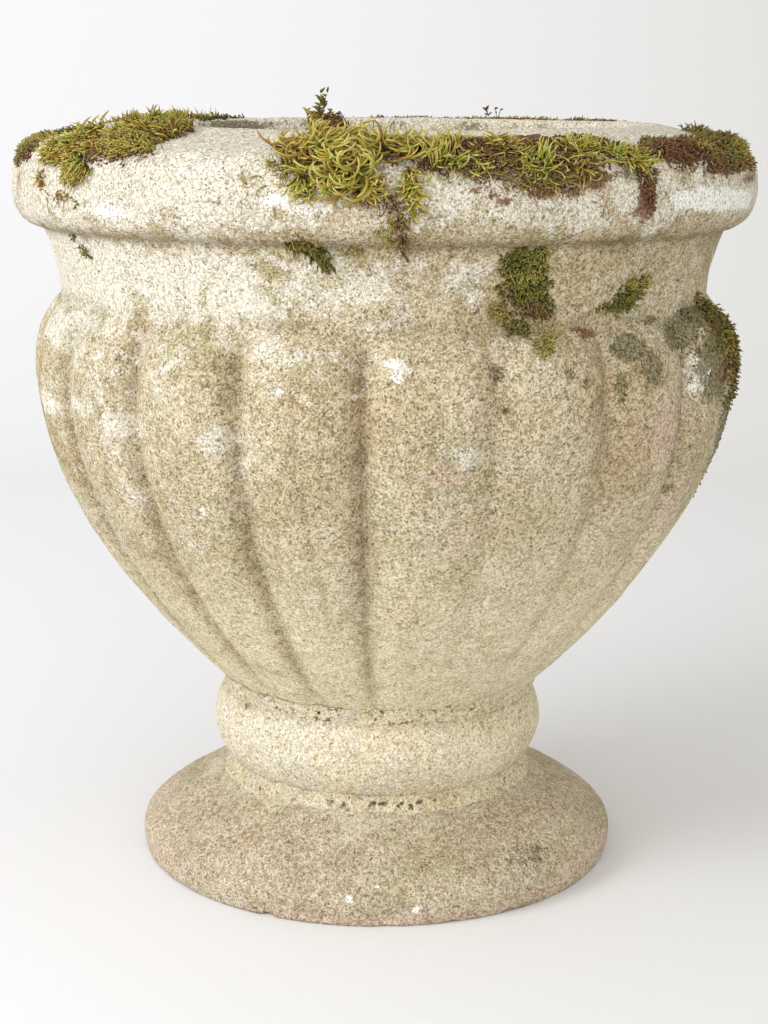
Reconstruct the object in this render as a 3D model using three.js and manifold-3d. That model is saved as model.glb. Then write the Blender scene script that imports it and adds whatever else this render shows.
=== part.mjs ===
// A weathered cast-stone urn planter: a gadrooned bowl with a rolled rim, bedded in mortar on a
// round collar and a spreading foot, drained by a pipe down the middle, with moss on rim and neck.
// Millimetres, +Z up. The origin is on the ground below the middle of the rim, and -Y is the front.

import Module from 'manifold-3d';
import * as THREE from 'three';
import { mergeVertices } from 'three/addons/utils/BufferGeometryUtils.js';

// ---------------------------------------------------------------- driving dimensions

// Foot: a low saucer that the urn stands on, dished underneath.
const footRadius = 155;
const footHeight = 55;
const footSeatRadius = 95.5;
const footEdgeHeight = 14;          // height of the foot's widest line
const footToeInset = 2.5;           // the foot draws in this much where it meets the ground
const footDishRadius = 112;
const footDishDepth = 16;

// Collar: a fat half-round ring between foot and bowl.
const collarHeight = 53;
const collarRadius = 107;
const collarTopRadius = 97.5;
const collarBottomRadius = 92;
const collarWaist = 0.54;           // where the collar is widest, as a share of its height

// Mortar beds above and below the collar, and how far each is squeezed out past its neighbours.
const bedThickness = 3;
const bedBead = 0.8;

// Bowl, with its heights measured up from its own flat seat.
const bowlHeight = 355;
const seatRadius = 100;
const bellyRadius = 221;
const bellyHeight = 204;
const neckRadius = 202;
const neckHeight = 254;             // the crease between lobes and neck
const neckTopRadius = 212;
const neckTopHeight = 294.5;        // the corner under the rim
const rimRadius = 230;
const rimNoseHeight = 316;
const rimShoulderRadius = 205;
const rimShoulderDrop = 8;          // the rim's top slopes down this much to its shoulder
const mouthRadius = 160;
const lipRounding = 8;
const cavityStraightDepth = 155;    // the cavity's wall runs straight for this much below the lip
const cavityDraft = 2;              // and draws in by this much on the way
const floorThickness = 38;
const floorRadius = 72;

// Lobes of the gadrooned body.
const lobeCount = 19;
const lobeDepth = 9;                // of a groove where the belly is widest
const lobeFullness = 2.4;           // above 2, a lobe is flatter on its crest and steeper at the groove
const lobeEndBand = 1.5;            // the plain core shows this much past the crest's two ends
const grooveAzimuth = -2.6;         // degrees from the front, towards the right, of one groove

// Drain pipe, and where the pedestal stands against the bowl.
const pipeRadius = 17;
const pipeWall = 3;
const pipeClearance = 0.45;
const pipeSetBack = 2;              // the pipe's ends stop short of the stone's faces
const pedestalShift = 3.3;          // collar and foot stand this far left of the bowl's middle

// Moss: the height of the fullest cushion, the gap that cushions keep from the stone, and their
// thickness at the edge.
const mossHeight = 15;
const mossGap = 0.35;
const mossEdge = 2;

// Facets.
const facetsPerLobe = 5;
const lowerBellySteps = 7;
const upperBellySteps = 7;
const turnFacets = 54;
const mossFacetWidth = 17;
const mossFacetHeight = 12;
const pipeFacets = 20;

// ---------------------------------------------------------------- what follows from them

const collarBase = footHeight + bedThickness;
const bowlBase = collarBase + collarHeight + bedThickness;
const holeRadius = pipeRadius + pipeClearance;
const degrees = THREE.MathUtils.degToRad;
const solids = await Module();
solids.setup();

const stone = new THREE.MeshStandardMaterial({ color: '#b9ad92', roughness: 0.95, metalness: 0 });
const footStone = new THREE.MeshStandardMaterial({ color: '#ab9c7f', roughness: 0.95, metalness: 0 });
const mortar = new THREE.MeshStandardMaterial({ color: '#d6cdb6', roughness: 1, metalness: 0 });
const galvanised = new THREE.MeshStandardMaterial({ color: '#8a8d8c', roughness: 0.55, metalness: 0.9 });
const greenMoss = new THREE.MeshStandardMaterial({ color: '#7f7c2e', roughness: 1, metalness: 0 });
const brownMoss = new THREE.MeshStandardMaterial({ color: '#5f4632', roughness: 1, metalness: 0 });
const darkMoss = new THREE.MeshStandardMaterial({ color: '#4d5524', roughness: 1, metalness: 0 });

// ---------------------------------------------------------------- meshes from grids and outlines

function point(r, z) {
  return new THREE.Vector2(r, z);
}

function bezier(start, leave, arrive, end) {
  return new THREE.CubicBezierCurve(start, leave, arrive, end);
}

// A closed mesh from points and triangles, turned so that its faces point out.
function closedMesh(name, material, points, triangles) {
  let sixVolumes = 0;
  const cross = new THREE.Vector3();
  for (const [a, b, c] of triangles) {
    sixVolumes += points[a].dot(cross.crossVectors(points[b], points[c]));
  }
  const outward = sixVolumes > 0 ? triangles : triangles.map(([a, b, c]) => [a, c, b]);
  const geometry = new THREE.BufferGeometry();
  const coordinates = points.flatMap((p) => p.toArray());
  geometry.setAttribute('position', new THREE.Float32BufferAttribute(coordinates, 3));
  geometry.setIndex(outward.flat());
  geometry.computeVertexNormals();
  const mesh = new THREE.Mesh(geometry, material);
  mesh.name = name;
  return mesh;
}

// A ring-shaped body: a closed outline carried round the Z axis by a LatheGeometry.
function turnedRing(name, material, outline, facets) {
  const lathe = new THREE.LatheGeometry([...outline, outline[0]], facets);
  lathe.rotateX(Math.PI / 2);
  lathe.deleteAttribute('normal');
  lathe.deleteAttribute('uv');
  const merged = mergeVertices(lathe, 1e-4);
  const position = merged.getAttribute('position');
  const points = Array.from({ length: position.count }, (_, i) =>
    new THREE.Vector3().fromBufferAttribute(position, i));
  const index = merged.getIndex().array;
  const triangles = [];
  for (let i = 0; i < index.length; i += 3) {
    const corners = [index[i], index[i + 1], index[i + 2]];
    if (new Set(corners).size === 3) triangles.push(corners);
  }
  return closedMesh(name, material, points, triangles);
}

// Triangles of a grid of rows by columns. The columns always close; the rows close if asked.
function gridTriangles(rows, columns) {
  const triangles = [];
  for (let row = 0; row < rows; row++) {
    for (let column = 0; column < columns; column++) {
      const next = (column + 1) % columns;
      const above = (row + 1) % rows;
      const a = row * columns + column;
      const b = row * columns + next;
      const c = above * columns + next;
      const d = above * columns + column;
      triangles.push([a, b, c], [a, c, d]);
    }
  }
  return triangles;
}

// What is left of one mesh when another is taken away from it.
function without(mesh, taken) {
  const toSolid = ({ geometry }) => new solids.Manifold(new solids.Mesh({
    numProp: 3,
    vertProperties: new Float32Array(geometry.getAttribute('position').array),
    triVerts: new Uint32Array(geometry.getIndex().array),
  }));
  const { numProp, vertProperties, triVerts } = toSolid(mesh).subtract(toSolid(taken)).getMesh();
  const geometry = new THREE.BufferGeometry();
  geometry.setAttribute('position', new THREE.Float32BufferAttribute(vertProperties, numProp));
  geometry.setIndex(Array.from(triVerts));
  geometry.computeVertexNormals();
  const rest = new THREE.Mesh(geometry, mesh.material);
  rest.name = mesh.name;
  return rest;
}

// ---------------------------------------------------------------- foot, collar, beds and pipe

function makeFoot() {
  const toe = point(footRadius - footToeInset, 0);
  const widest = point(footRadius, footEdgeHeight);
  const seatEdge = point(footSeatRadius, footHeight);
  const rise = footHeight - footEdgeHeight;
  const run = footRadius - footSeatRadius;
  const edge = new THREE.QuadraticBezierCurve(toe, point(footRadius, footEdgeHeight * 0.35), widest);
  const slope = bezier(
    widest,
    point(footRadius, footEdgeHeight + rise * 0.29),
    point(footSeatRadius + run * 0.27, footHeight - rise * 0.3),
    seatEdge,
  );
  const dishEdge = point(footDishRadius, 0);
  const dishCorner = point(footDishRadius, footDishDepth);
  const dishRoof = new THREE.QuadraticBezierCurve(
    dishEdge, dishCorner, point(footDishRadius * 0.72, footDishDepth));
  const outline = [
    ...edge.getPoints(2),
    ...slope.getPoints(7).slice(1),
    point(holeRadius, footHeight),
    point(holeRadius, footDishDepth),
    ...dishRoof.getPoints(3).reverse(),
  ];
  return turnedRing('foot', footStone, outline, turnFacets);
}

function makeCollar() {
  const top = collarBase + collarHeight;
  const waist = collarBase + collarHeight * collarWaist;
  const lower = bezier(
    point(collarBottomRadius, collarBase),
    point((collarBottomRadius + collarRadius) / 2, collarBase + collarHeight * 0.12),
    point(collarRadius, collarBase + collarHeight * 0.42),
    point(collarRadius, waist),
  );
  const upper = bezier(
    point(collarRadius, waist),
    point(collarRadius, waist + collarHeight * 0.03),
    point((collarTopRadius + collarRadius) / 2, top - collarHeight * 0.02),
    point(collarTopRadius, top),
  );
  const outline = [
    ...lower.getPoints(4),
    ...upper.getPoints(4).slice(1),
    point(holeRadius, top),
    point(holeRadius, collarBase),
  ];
  return turnedRing('collar', stone, outline, turnFacets);
}

function makeMortarBed(name, base, lowerRadius, upperRadius) {
  const top = base + bedThickness;
  const outline = [
    point(lowerRadius, base),
    point((lowerRadius + upperRadius) / 2 + bedBead, base + bedThickness / 2),
    point(upperRadius, top),
    point(holeRadius, top),
    point(holeRadius, base),
  ];
  return turnedRing(name, mortar, outline, turnFacets);
}

function makeDrainPipe() {
  const bottom = footDishDepth + pipeSetBack;
  const top = bowlBase + floorThickness - pipeSetBack;
  const outline = [
    point(pipeRadius, bottom),
    point(pipeRadius, top),
    point(pipeRadius - pipeWall, top),
    point(pipeRadius - pipeWall, bottom),
  ];
  return turnedRing('drain_pipe', galvanised, outline, pipeFacets);
}

// ---------------------------------------------------------------- bowl

// The bowl's outline at the crest of a lobe, from seat to lip, in its own heights.
const widest = point(bellyRadius, bellyHeight);
const crease = point(neckRadius, neckHeight);
const corner = point(neckTopRadius, neckTopHeight);
const nose = point(rimRadius, rimNoseHeight);
const shoulder = point(rimShoulderRadius, bowlHeight - rimShoulderDrop);
const crest = point(mouthRadius + lipRounding, bowlHeight);

const bellySwell = bellyRadius - seatRadius;
const shoulderFall = neckHeight - bellyHeight;
const rimRise = bowlHeight - rimNoseHeight;
const noseReach = rimRadius - neckTopRadius;
const noseRise = rimNoseHeight - neckTopHeight;

const lowerBelly = bezier(
  point(seatRadius, lobeEndBand),
  point(seatRadius + bellySwell * 0.41, bellyHeight * 0.22),
  point(bellyRadius, bellyHeight * 0.64),
  widest,
);
const upperBelly = bezier(
  widest,
  point(bellyRadius, bellyHeight + shoulderFall * 0.6),
  point((neckRadius + bellyRadius) / 2, neckHeight - shoulderFall * 0.265),
  point(neckRadius, neckHeight - lobeEndBand),
);
const neck = new THREE.QuadraticBezierCurve(
  crease,
  point(neckRadius, neckHeight + (neckTopHeight - neckHeight) * 0.42),
  corner,
);
const rimUnderside = bezier(
  corner,
  point(neckTopRadius + noseReach * 0.4, neckTopHeight + noseRise * 0.05),
  point(rimRadius, neckTopHeight + noseRise * 0.23),
  nose,
);
const rimRoll = bezier(
  nose,
  point(rimRadius, rimNoseHeight + rimRise * 0.5),
  point(rimRadius - noseReach * 0.22, shoulder.y - rimRise * 0.05),
  shoulder,
);
const rimTop = new THREE.LineCurve(shoulder, crest);

const plainParts = [
  { curve: neck, steps: 3 },
  { curve: rimUnderside, steps: 3 },
  { curve: rimRoll, steps: 5 },
  { curve: rimTop, steps: 1 },
];

// How far a lobe's surface has dropped in, as a share of its crest's radius: none on the crest, and
// most in the grooves at its two sides.
function lobeDrop(azimuth) {
  const turns = ((azimuth - grooveAzimuth) / 360) * lobeCount;
  const across = Math.abs((turns - Math.floor(turns)) * 2 - 1);
  return (lobeDepth / bellyRadius) * across ** lobeFullness;
}

// Where a curve reaches a radius, as a share of its length. One end lies inside it, the other outside.
function shareAtRadius(curve, radius) {
  let [inside, outside] = curve.getPoint(0).x < curve.getPoint(1).x ? [0, 1] : [1, 0];
  for (let i = 0; i < 24; i++) {
    const middle = (inside + outside) / 2;
    if (curve.getPoint(middle).x < radius) inside = middle;
    else outside = middle;
  }
  return outside;
}

// The lobes swell out of a plain core, which shows below them, at the seat, and above them, at the
// neck. Each line down a lobe runs only while it is outside the core. So a lobe's ends come out
// rounded, and the grooves end before the crests do.
function lobedPoints(azimuth) {
  const reach = 1 - lobeDrop(azimuth);
  const start = shareAtRadius(lowerBelly, seatRadius / reach);
  const end = shareAtRadius(upperBelly, neckRadius / reach);
  const lower = Array.from({ length: lowerBellySteps }, (_, i) =>
    lowerBelly.getPoint(start + ((1 - start) * i) / lowerBellySteps));
  const upper = Array.from({ length: upperBellySteps + 1 }, (_, i) =>
    upperBelly.getPoint((end * i) / upperBellySteps));
  return [...lower, ...upper].map(({ x, y }) => point(x * reach, y));
}

// A point from its radius, height and azimuth. Azimuth 0 is the front and 90 the right.
function aroundBowl(radius, height, azimuth, shift = 0) {
  const angle = degrees(azimuth);
  return new THREE.Vector3(radius * Math.sin(angle) - shift, -radius * Math.cos(angle), bowlBase + height);
}

// The wall of the planting cavity, from the lip down to its floor.
function cavityOutline() {
  const lipHeight = bowlHeight - lipRounding;
  const lip = [0.67, 0.33, 0].map((share) => {
    const angle = share * (Math.PI / 2);
    return point(
      mouthRadius + lipRounding * (1 - Math.cos(angle)),
      lipHeight + lipRounding * Math.sin(angle),
    );
  });
  const straightEnd = lipHeight - cavityStraightDepth;
  const wallFoot = mouthRadius - cavityDraft;
  const basin = bezier(
    point(wallFoot, straightEnd),
    point(wallFoot - cavityDraft, floorThickness + (straightEnd - floorThickness) * 0.45),
    point(floorRadius + (wallFoot - floorRadius) * 0.4, floorThickness),
    point(floorRadius, floorThickness),
  );
  return [...lip, ...basin.getPoints(5)];
}

const columns = lobeCount * facetsPerLobe;

const azimuths = Array.from({ length: columns }, (_, i) => grooveAzimuth + (i * 360) / columns);

// One ring of points of the bowl's grid, all at one radius and height.
function ringAt({ x: radius, y: height }, shift = 0) {
  return azimuths.map((azimuth) => aroundBowl(radius, height, azimuth, shift));
}

// The rings of the bowl's outside, from the seat's edge to the lip's crest.
function outerRings() {
  const lobed = azimuths.map(lobedPoints);
  const lobedRings = lobed[0].map((_, row) =>
    azimuths.map((azimuth, i) => aroundBowl(lobed[i][row].x, lobed[i][row].y, azimuth)));
  const plain = plainParts.flatMap(({ curve, steps }) => curve.getPoints(steps).slice(1));
  return [ringAt(point(seatRadius, 0)), ...lobedRings, ringAt(crease), ...plain.map((p) => ringAt(p))];
}

function makeBowl() {
  const rings = [
    ringAt(point(holeRadius, 0), pedestalShift),
    ...outerRings(),
    ...cavityOutline().map((p) => ringAt(p)),
    ringAt(point(holeRadius, floorThickness), pedestalShift),
  ];
  return closedMesh('bowl', stone, rings.flat(), gridTriangles(rings.length, columns));
}

// A filled body a little larger than the bowl all round, which is cut out of the moss.
function makeGrownBowl() {
  const rings = [
    ringAt(point(holeRadius, 0)),
    ...outerRings(),
    ringAt(point(mouthRadius / 2, bowlHeight)),
    ringAt(point(holeRadius, bowlHeight)),
  ];
  const grown = closedMesh('grown_bowl', stone, rings.flat(), gridTriangles(rings.length, columns));
  const position = grown.geometry.getAttribute('position');
  const normal = grown.geometry.getAttribute('normal');
  for (let i = 0; i < position.count; i++) {
    position.setXYZ(
      i,
      position.getX(i) + normal.getX(i) * mossGap,
      position.getY(i) + normal.getY(i) * mossGap,
      position.getZ(i) + normal.getZ(i) * mossGap,
    );
  }
  return grown;
}

// ---------------------------------------------------------------- moss

const plainLength = plainParts.reduce((sum, { curve }) => sum + curve.getLength(), 0);
const outline = new THREE.CurvePath();
for (const curve of [lowerBelly, upperBelly, ...plainParts.map((part) => part.curve)]) outline.add(curve);
const outlineLength = outline.getLength();
const grownBowl = makeGrownBowl();

// A point over the crests of the bowl, from its azimuth, its way down from the lip and its lift.
function overBowl(azimuth, wayDown, lift) {
  const share = THREE.MathUtils.clamp(1 - wayDown / outlineLength, 0, 1);
  const { x: radius, y: height } = outline.getPointAt(share);
  const along = outline.getTangentAt(share);
  return aroundBowl(radius + along.y * lift, height - along.x * lift, azimuth);
}

// A cushion of moss: a patch over the bowl with a ragged outline, domed and lumpy on top. Left and
// right are azimuths. Top and bottom are ways down the stone, 0 at the lip's crest and 1 at the neck's
// crease. Fullness is its height as a share of the fullest cushion. It starts deeper than a groove of
// the lobes, and the bowl is then cut out of it, so that it lies on the stone.
function makeMoss(name, material, [left, right], [top, bottom], fullness, lumps) {
  const high = top * plainLength;
  const low = bottom * plainLength;
  const height = Math.max(fullness * mossHeight, 1.5 * mossEdge);
  const columnCount = Math.max(4, Math.round((degrees(right - left) * rimRadius) / mossFacetWidth));
  const rowCount = Math.max(3, Math.round((low - high) / mossFacetHeight));
  const width = columnCount + 1;
  const sheetSize = width * (rowCount + 1);
  const dome = (u, v) => (1 - u ** 4) * (1 - v ** 4) * (0.82 + 0.18 * Math.sin(lumps * 3 * u + 2 * v));
  const points = [];
  const addSheet = (liftAt) => {
    for (let i = 0; i < sheetSize; i++) {
      const u = ((i % width) / columnCount) * 2 - 1;
      const v = (Math.floor(i / width) / rowCount) * 2 - 1;
      const narrowing = 1 - 0.3 * v * v;
      const raggedness = 1 + 0.12 * Math.sin(lumps * 2.3 * u + lumps) - 0.22 * u * u;
      const azimuth = (left + right) / 2 + ((right - left) / 2) * u * narrowing;
      const wayDown = (high + low) / 2 + ((low - high) / 2) * v * raggedness;
      points.push(overBowl(azimuth, wayDown, liftAt(u, v)));
    }
  };
  const depth = high > plainLength ? lobeDepth + mossEdge : 2 * mossEdge;
  addSheet(() => -depth);
  addSheet((u, v) => mossEdge + (height - mossEdge) * dome(u, v));

  const triangles = [];
  const quad = (a, b, c, d) => triangles.push([a, b, c], [a, c, d]);
  const cell = (row, column) => row * width + column;
  for (let row = 0; row < rowCount; row++) {
    for (let column = 0; column < columnCount; column++) {
      const [a, b] = [cell(row, column), cell(row, column + 1)];
      quad(a, a + width, b + width, b);
      quad(sheetSize + a, sheetSize + b, sheetSize + b + width, sheetSize + a + width);
    }
  }
  const wall = (from, to) => quad(from, to, sheetSize + to, sheetSize + from);
  for (let column = 0; column < columnCount; column++) {
    wall(cell(0, column), cell(0, column + 1));
    wall(cell(rowCount, column + 1), cell(rowCount, column));
  }
  for (let row = 0; row < rowCount; row++) {
    wall(cell(row + 1, 0), cell(row, 0));
    wall(cell(row, columnCount), cell(row + 1, columnCount));
  }
  return without(closedMesh(name, material, points, triangles), grownBowl);
}

const mossCushions = [
  makeMoss('moss_rim_left', greenMoss, [-62, -26], [0.09, 0.42], 0.93, 3),
  makeMoss('moss_rim_far_left', brownMoss, [-104, -64], [0.14, 0.37], 0.53, 4),
  makeMoss('moss_rim_back_left', greenMoss, [-150, -107], [0.05, 0.27], 0.4, 3),
  makeMoss('moss_rim_centre', greenMoss, [-17, 6.5], [0.025, 0.445], 1, 2),
  makeMoss('moss_rim_trail', brownMoss, [-1, 5.5], [0.46, 0.65], 0.27, 1),
  makeMoss('moss_rim_right', brownMoss, [8, 41], [0.04, 0.395], 0.6, 5),
  makeMoss('moss_rim_far_right', darkMoss, [42.5, 88], [0.075, 0.41], 0.67, 4),
  makeMoss('moss_rim_back', brownMoss, [110, 192], [0.02, 0.165], 0.27, 5),
  makeMoss('moss_rim_sprig', darkMoss, [-14, -6], [0.655, 0.8], 0.33, 1),
  makeMoss('moss_neck_left_sprig', darkMoss, [-60, -53], [0.715, 0.81], 0.27, 2),
  makeMoss('moss_neck_patch', darkMoss, [15.5, 28], [0.75, 1.005], 0.47, 2),
  makeMoss('moss_neck_tuft', darkMoss, [36, 49], [0.855, 1.02], 0.47, 3),
  makeMoss('moss_shoulder_tuft', darkMoss, [21, 27.5], [1.05, 1.17], 0.2, 1),
  makeMoss('moss_shoulder_right', darkMoss, [58, 92], [1.005, 1.53], 0.33, 3),
];

// ---------------------------------------------------------------- assembly

const pedestal = new THREE.Group();
pedestal.position.x = -pedestalShift;
pedestal.add(
  makeFoot(),
  makeMortarBed('lower_mortar_bed', footHeight, footSeatRadius, collarBottomRadius),
  makeCollar(),
  makeMortarBed('upper_mortar_bed', collarBase + collarHeight, collarTopRadius, seatRadius),
  makeDrainPipe(),
);

const urnPlanter = new THREE.Group();
urnPlanter.add(pedestal, makeBowl(), ...mossCushions);

export default urnPlanter;
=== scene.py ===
"""Looks of a weathered cast-stone urn planter with moss on its rim and neck.

Lengths in the shape functions are millimetres, as in a maker's drawing, and become metres when a
mesh is made. Azimuth is in degrees from the front (-Y) towards the right (+X).
"""
import math

import bpy
import numpy as np
from mathutils import Matrix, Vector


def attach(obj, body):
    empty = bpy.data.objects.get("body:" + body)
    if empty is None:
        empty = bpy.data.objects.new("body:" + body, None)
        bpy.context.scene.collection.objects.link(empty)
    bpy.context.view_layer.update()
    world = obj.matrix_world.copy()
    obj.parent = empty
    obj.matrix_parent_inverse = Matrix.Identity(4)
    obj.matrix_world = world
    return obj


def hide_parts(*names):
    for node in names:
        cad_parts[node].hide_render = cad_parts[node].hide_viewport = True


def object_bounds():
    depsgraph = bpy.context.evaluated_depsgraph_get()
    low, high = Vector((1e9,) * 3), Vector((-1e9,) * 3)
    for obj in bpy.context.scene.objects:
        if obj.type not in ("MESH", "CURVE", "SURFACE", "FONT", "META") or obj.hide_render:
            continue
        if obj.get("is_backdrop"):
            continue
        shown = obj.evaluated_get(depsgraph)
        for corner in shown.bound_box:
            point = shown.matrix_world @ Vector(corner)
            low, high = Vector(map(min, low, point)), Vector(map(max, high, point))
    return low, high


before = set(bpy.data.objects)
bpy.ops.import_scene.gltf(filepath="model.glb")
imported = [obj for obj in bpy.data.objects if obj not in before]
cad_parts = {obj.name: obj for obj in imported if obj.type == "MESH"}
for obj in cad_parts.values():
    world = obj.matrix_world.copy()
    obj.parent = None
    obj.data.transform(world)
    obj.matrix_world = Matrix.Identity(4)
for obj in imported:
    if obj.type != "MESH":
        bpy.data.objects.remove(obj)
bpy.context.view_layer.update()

MM = 0.001


# -------------------------------- camera

# Seen from 1.25 m in front and just above the rim, pitched down and rolled a quarter of a degree.
SENSOR, LENS = 36, 69.26             # millimetres
PLACE = (0.0007, -1.2514, 0.4959)    # metres
PITCH, ROLL = 12.41, 0.25            # degrees
camera_data = bpy.data.cameras.new("camera")
camera_data.sensor_width = SENSOR
camera_data.lens = LENS
camera_data.clip_end = 50
camera = bpy.data.objects.new("camera", camera_data)
camera.matrix_world = (
    Matrix.Translation(PLACE)
    @ Matrix.Rotation(math.radians(90 - PITCH), 4, "X")
    @ Matrix.Rotation(math.radians(ROLL), 4, "Z")
)
bpy.context.scene.collection.objects.link(camera)
bpy.context.scene.camera = camera


# -------------------------------- meshes from arrays


def make_mesh(name, points, quads, material, slot=None, attributes=None):
    """A smooth mesh object from an (n, 3) array of points in millimetres and an (m, 4) or (m, 3)
    array of faces, with float attributes on its points."""
    faces = np.asarray(quads, dtype=np.int32)
    mesh = bpy.data.meshes.new(name)
    mesh.vertices.add(len(points))
    mesh.vertices.foreach_set("co", (np.asarray(points, dtype=np.float64) * MM).ravel())
    mesh.loops.add(faces.size)
    mesh.loops.foreach_set("vertex_index", faces.ravel())
    mesh.polygons.add(len(faces))
    sides = faces.shape[1]
    mesh.polygons.foreach_set("loop_start", np.arange(len(faces), dtype=np.int32) * sides)
    mesh.polygons.foreach_set("use_smooth", np.ones(len(faces), dtype=bool))
    mesh.update(calc_edges=True)
    mesh.validate()
    for key, values in (attributes or {}).items():
        layer = mesh.attributes.new(key, "FLOAT", "POINT")
        layer.data.foreach_set("value", np.asarray(values, dtype=np.float32).ravel())
    mesh.materials.append(material)
    piece = bpy.data.objects.new(name, mesh)
    bpy.context.scene.collection.objects.link(piece)
    if slot:
        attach(piece, "root")
    return piece


def ring_faces(rows, columns):
    """Faces of a grid that closes on itself both ways, as a ring does."""
    row, column = np.meshgrid(np.arange(rows), np.arange(columns), indexing="ij")
    above = (row + 1) % rows
    beside = (column + 1) % columns
    corners = (row * columns + column, row * columns + beside,
               above * columns + beside, above * columns + column)
    return np.stack(corners, axis=-1).reshape(-1, 4)


def sheet_faces(rows, columns):
    """Faces of an open grid of points."""
    row, column = np.meshgrid(np.arange(rows - 1), np.arange(columns - 1), indexing="ij")
    first = (row * columns + column).reshape(-1)
    return np.stack([first, first + 1, first + columns + 1, first + columns], axis=-1)


def ring_normals(points):
    """Outward directions of a ring-shaped grid of shape (rows, columns, 3): the cross product of
    the step to the next column and the step to the next row, each taken across both neighbours."""
    along = np.roll(points, -1, axis=1) - np.roll(points, 1, axis=1)
    up = np.roll(points, -1, axis=0) - np.roll(points, 1, axis=0)
    normals = np.cross(along, up)
    return normals / np.maximum(np.linalg.norm(normals, axis=-1, keepdims=True), 1e-9)


def lattice(points, size, seed):
    """Value noise from -1 to 1: a random number at each corner of a lattice of cubes of that size,
    blended between the eight corners with a smooth step."""
    cell = points / size + seed * 17.31
    whole = np.floor(cell).astype(np.int64)
    part = cell - whole
    part = part * part * (3 - 2 * part)
    total = np.zeros(points.shape[:-1])
    for corner in range(8):
        offset = np.array([corner & 1, (corner >> 1) & 1, (corner >> 2) & 1])
        key = (whole + offset) @ np.array([73856093, 19349663, 83492791], dtype=np.int64)
        key = (key ^ (key >> 13)) * 1274126177 & 0xFFFFFFFF
        value = ((key ^ (key >> 16)) & 0xFFFF) / 32767.5 - 1
        weight = np.prod(np.where(offset, part, 1 - part), axis=-1)
        total += value * weight
    return total


def cloud(points, size, seed, octaves=3):
    """Lattice noise summed over octaves, each half the size and half the strength of the last."""
    total = sum(lattice(points, size / 2**i, seed + i) / 2**i for i in range(octaves))
    return total / (2 - 0.5 ** (octaves - 1))


def smooth(low, high, x):
    """0 below low, 1 above high, and a smooth step between."""
    t = np.clip((x - low) / (high - low), 0, 1)
    return t * t * (3 - 2 * t)


def bezier(points, t):
    """A Bezier curve of three or four control points at the shares t."""
    t = np.asarray(t)[..., None]
    p = [np.array(q, dtype=float) for q in points]
    if len(p) == 3:
        return (1 - t) ** 2 * p[0] + 2 * (1 - t) * t * p[1] + t**2 * p[2]
    return ((1 - t) ** 3 * p[0] + 3 * (1 - t) ** 2 * t * p[1] + 3 * (1 - t) * t**2 * p[2]
            + t**3 * p[3])


def around(radius, height, azimuth, shift=0.0):
    """Points at a radius and height in the direction of an azimuth."""
    angle = np.radians(azimuth)
    x, y = radius * np.sin(angle) - shift, -radius * np.cos(angle)
    return np.stack([x, y, height + 0 * angle], axis=-1)


def carried(profile, azimuth, shift=0.0):
    """A profile of radius and height at each azimuth, as (rows, columns, 3)."""
    profile = np.asarray(profile, dtype=float)
    grid = np.broadcast_to(azimuth, (len(profile), len(azimuth)))
    return around(profile[:, :1] + 0 * grid, profile[:, 1:] + 0 * grid, grid, shift)


# -------------------------------- the castings' shapes

BOWL_BASE = 114.0
FLOOR = 152.0                    # the cavity's floor
SHOULDER = (205, 461)            # radius and height where the rim's roll meets its top
LIP_CREST = (168, 469)
LIP_ROUND = 8
SEAT_RADIUS = 100
BELLY_RADIUS = 221
NECK_RADIUS = 202
HOLE = 17.45
SHIFT = 3.3                      # foot and collar stand this far left of the bowl's middle
LOBES = 19
GROOVE_AZIMUTH = -2.6

LOWER_BELLY = [(100, 115.5), (149.6, 158.9), (221, 244.6), (221, 318)]
UPPER_BELLY = [(221, 318), (221, 348), (211.5, 354.75), (202, 366.5)]
NECK = [(202, 368), (202, 385), (212, 408.5)]
RIM_UNDER = [(212, 408.5), (219.2, 409.5), (230, 413.5), (230, 430)]
RIM_ROLL = [(230, 430), (230, 449.5), (226, 459), (205, 461)]

# How deep each groove is at the neck and low down, against an even casting: the urn's front right
# is worn, and the groove there has nearly gone.
GROOVE_TOP = np.ones(LOBES)
GROOVE_LOW = np.ones(LOBES)
for groove, (top, low) in {-3: (0.9, 0.7), -2: (0.95, 0.9), 0: (1.1, 1.05), 1: (0.5, 0.12),
                           2: (0.75, 0.4), 3: (0.95, 0.7)}.items():
    GROOVE_TOP[groove] = top
    GROOVE_LOW[groove] = low


def across_lobe(azimuth):
    """How far across a lobe a direction is: 0 on the crest and 1 in the groove on either side."""
    turns = (azimuth - GROOVE_AZIMUTH) / 360 * LOBES
    return np.abs((turns - np.floor(turns)) * 2 - 1)


def groove_wear(azimuth, height):
    """How deep the nearest groove is against an even casting, between its low and its top value."""
    nearest = np.round((azimuth - GROOVE_AZIMUTH) / 360 * LOBES).astype(int) % LOBES
    up = smooth(170, 350, height)
    return GROOVE_LOW[nearest] + (GROOVE_TOP - GROOVE_LOW)[nearest] * up


def lobe_drop(azimuth, height):
    """How far the surface has dropped in from the crest, as a share of the radius: a rounded lobe,
    the way across it to the power 2.2, with a narrow channel in the groove, the way across to the
    power 14."""
    across = across_lobe(azimuth)
    return groove_wear(azimuth, height) * (8.6 * across**2.2 + 1.4 * across**14) / BELLY_RADIUS


def share_at_radius(curve, radius):
    """Where a curve reaches each radius, as a share of its length, by halving the interval."""
    rising = curve[0][0] < curve[-1][0]
    inside = np.full_like(radius, 0.0 if rising else 1.0)
    outside = 1 - inside
    for _ in range(24):
        middle = (inside + outside) / 2
        short = bezier(curve, middle)[..., 0] < radius
        inside = np.where(short, middle, inside)
        outside = np.where(short, outside, middle)
    return outside


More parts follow.
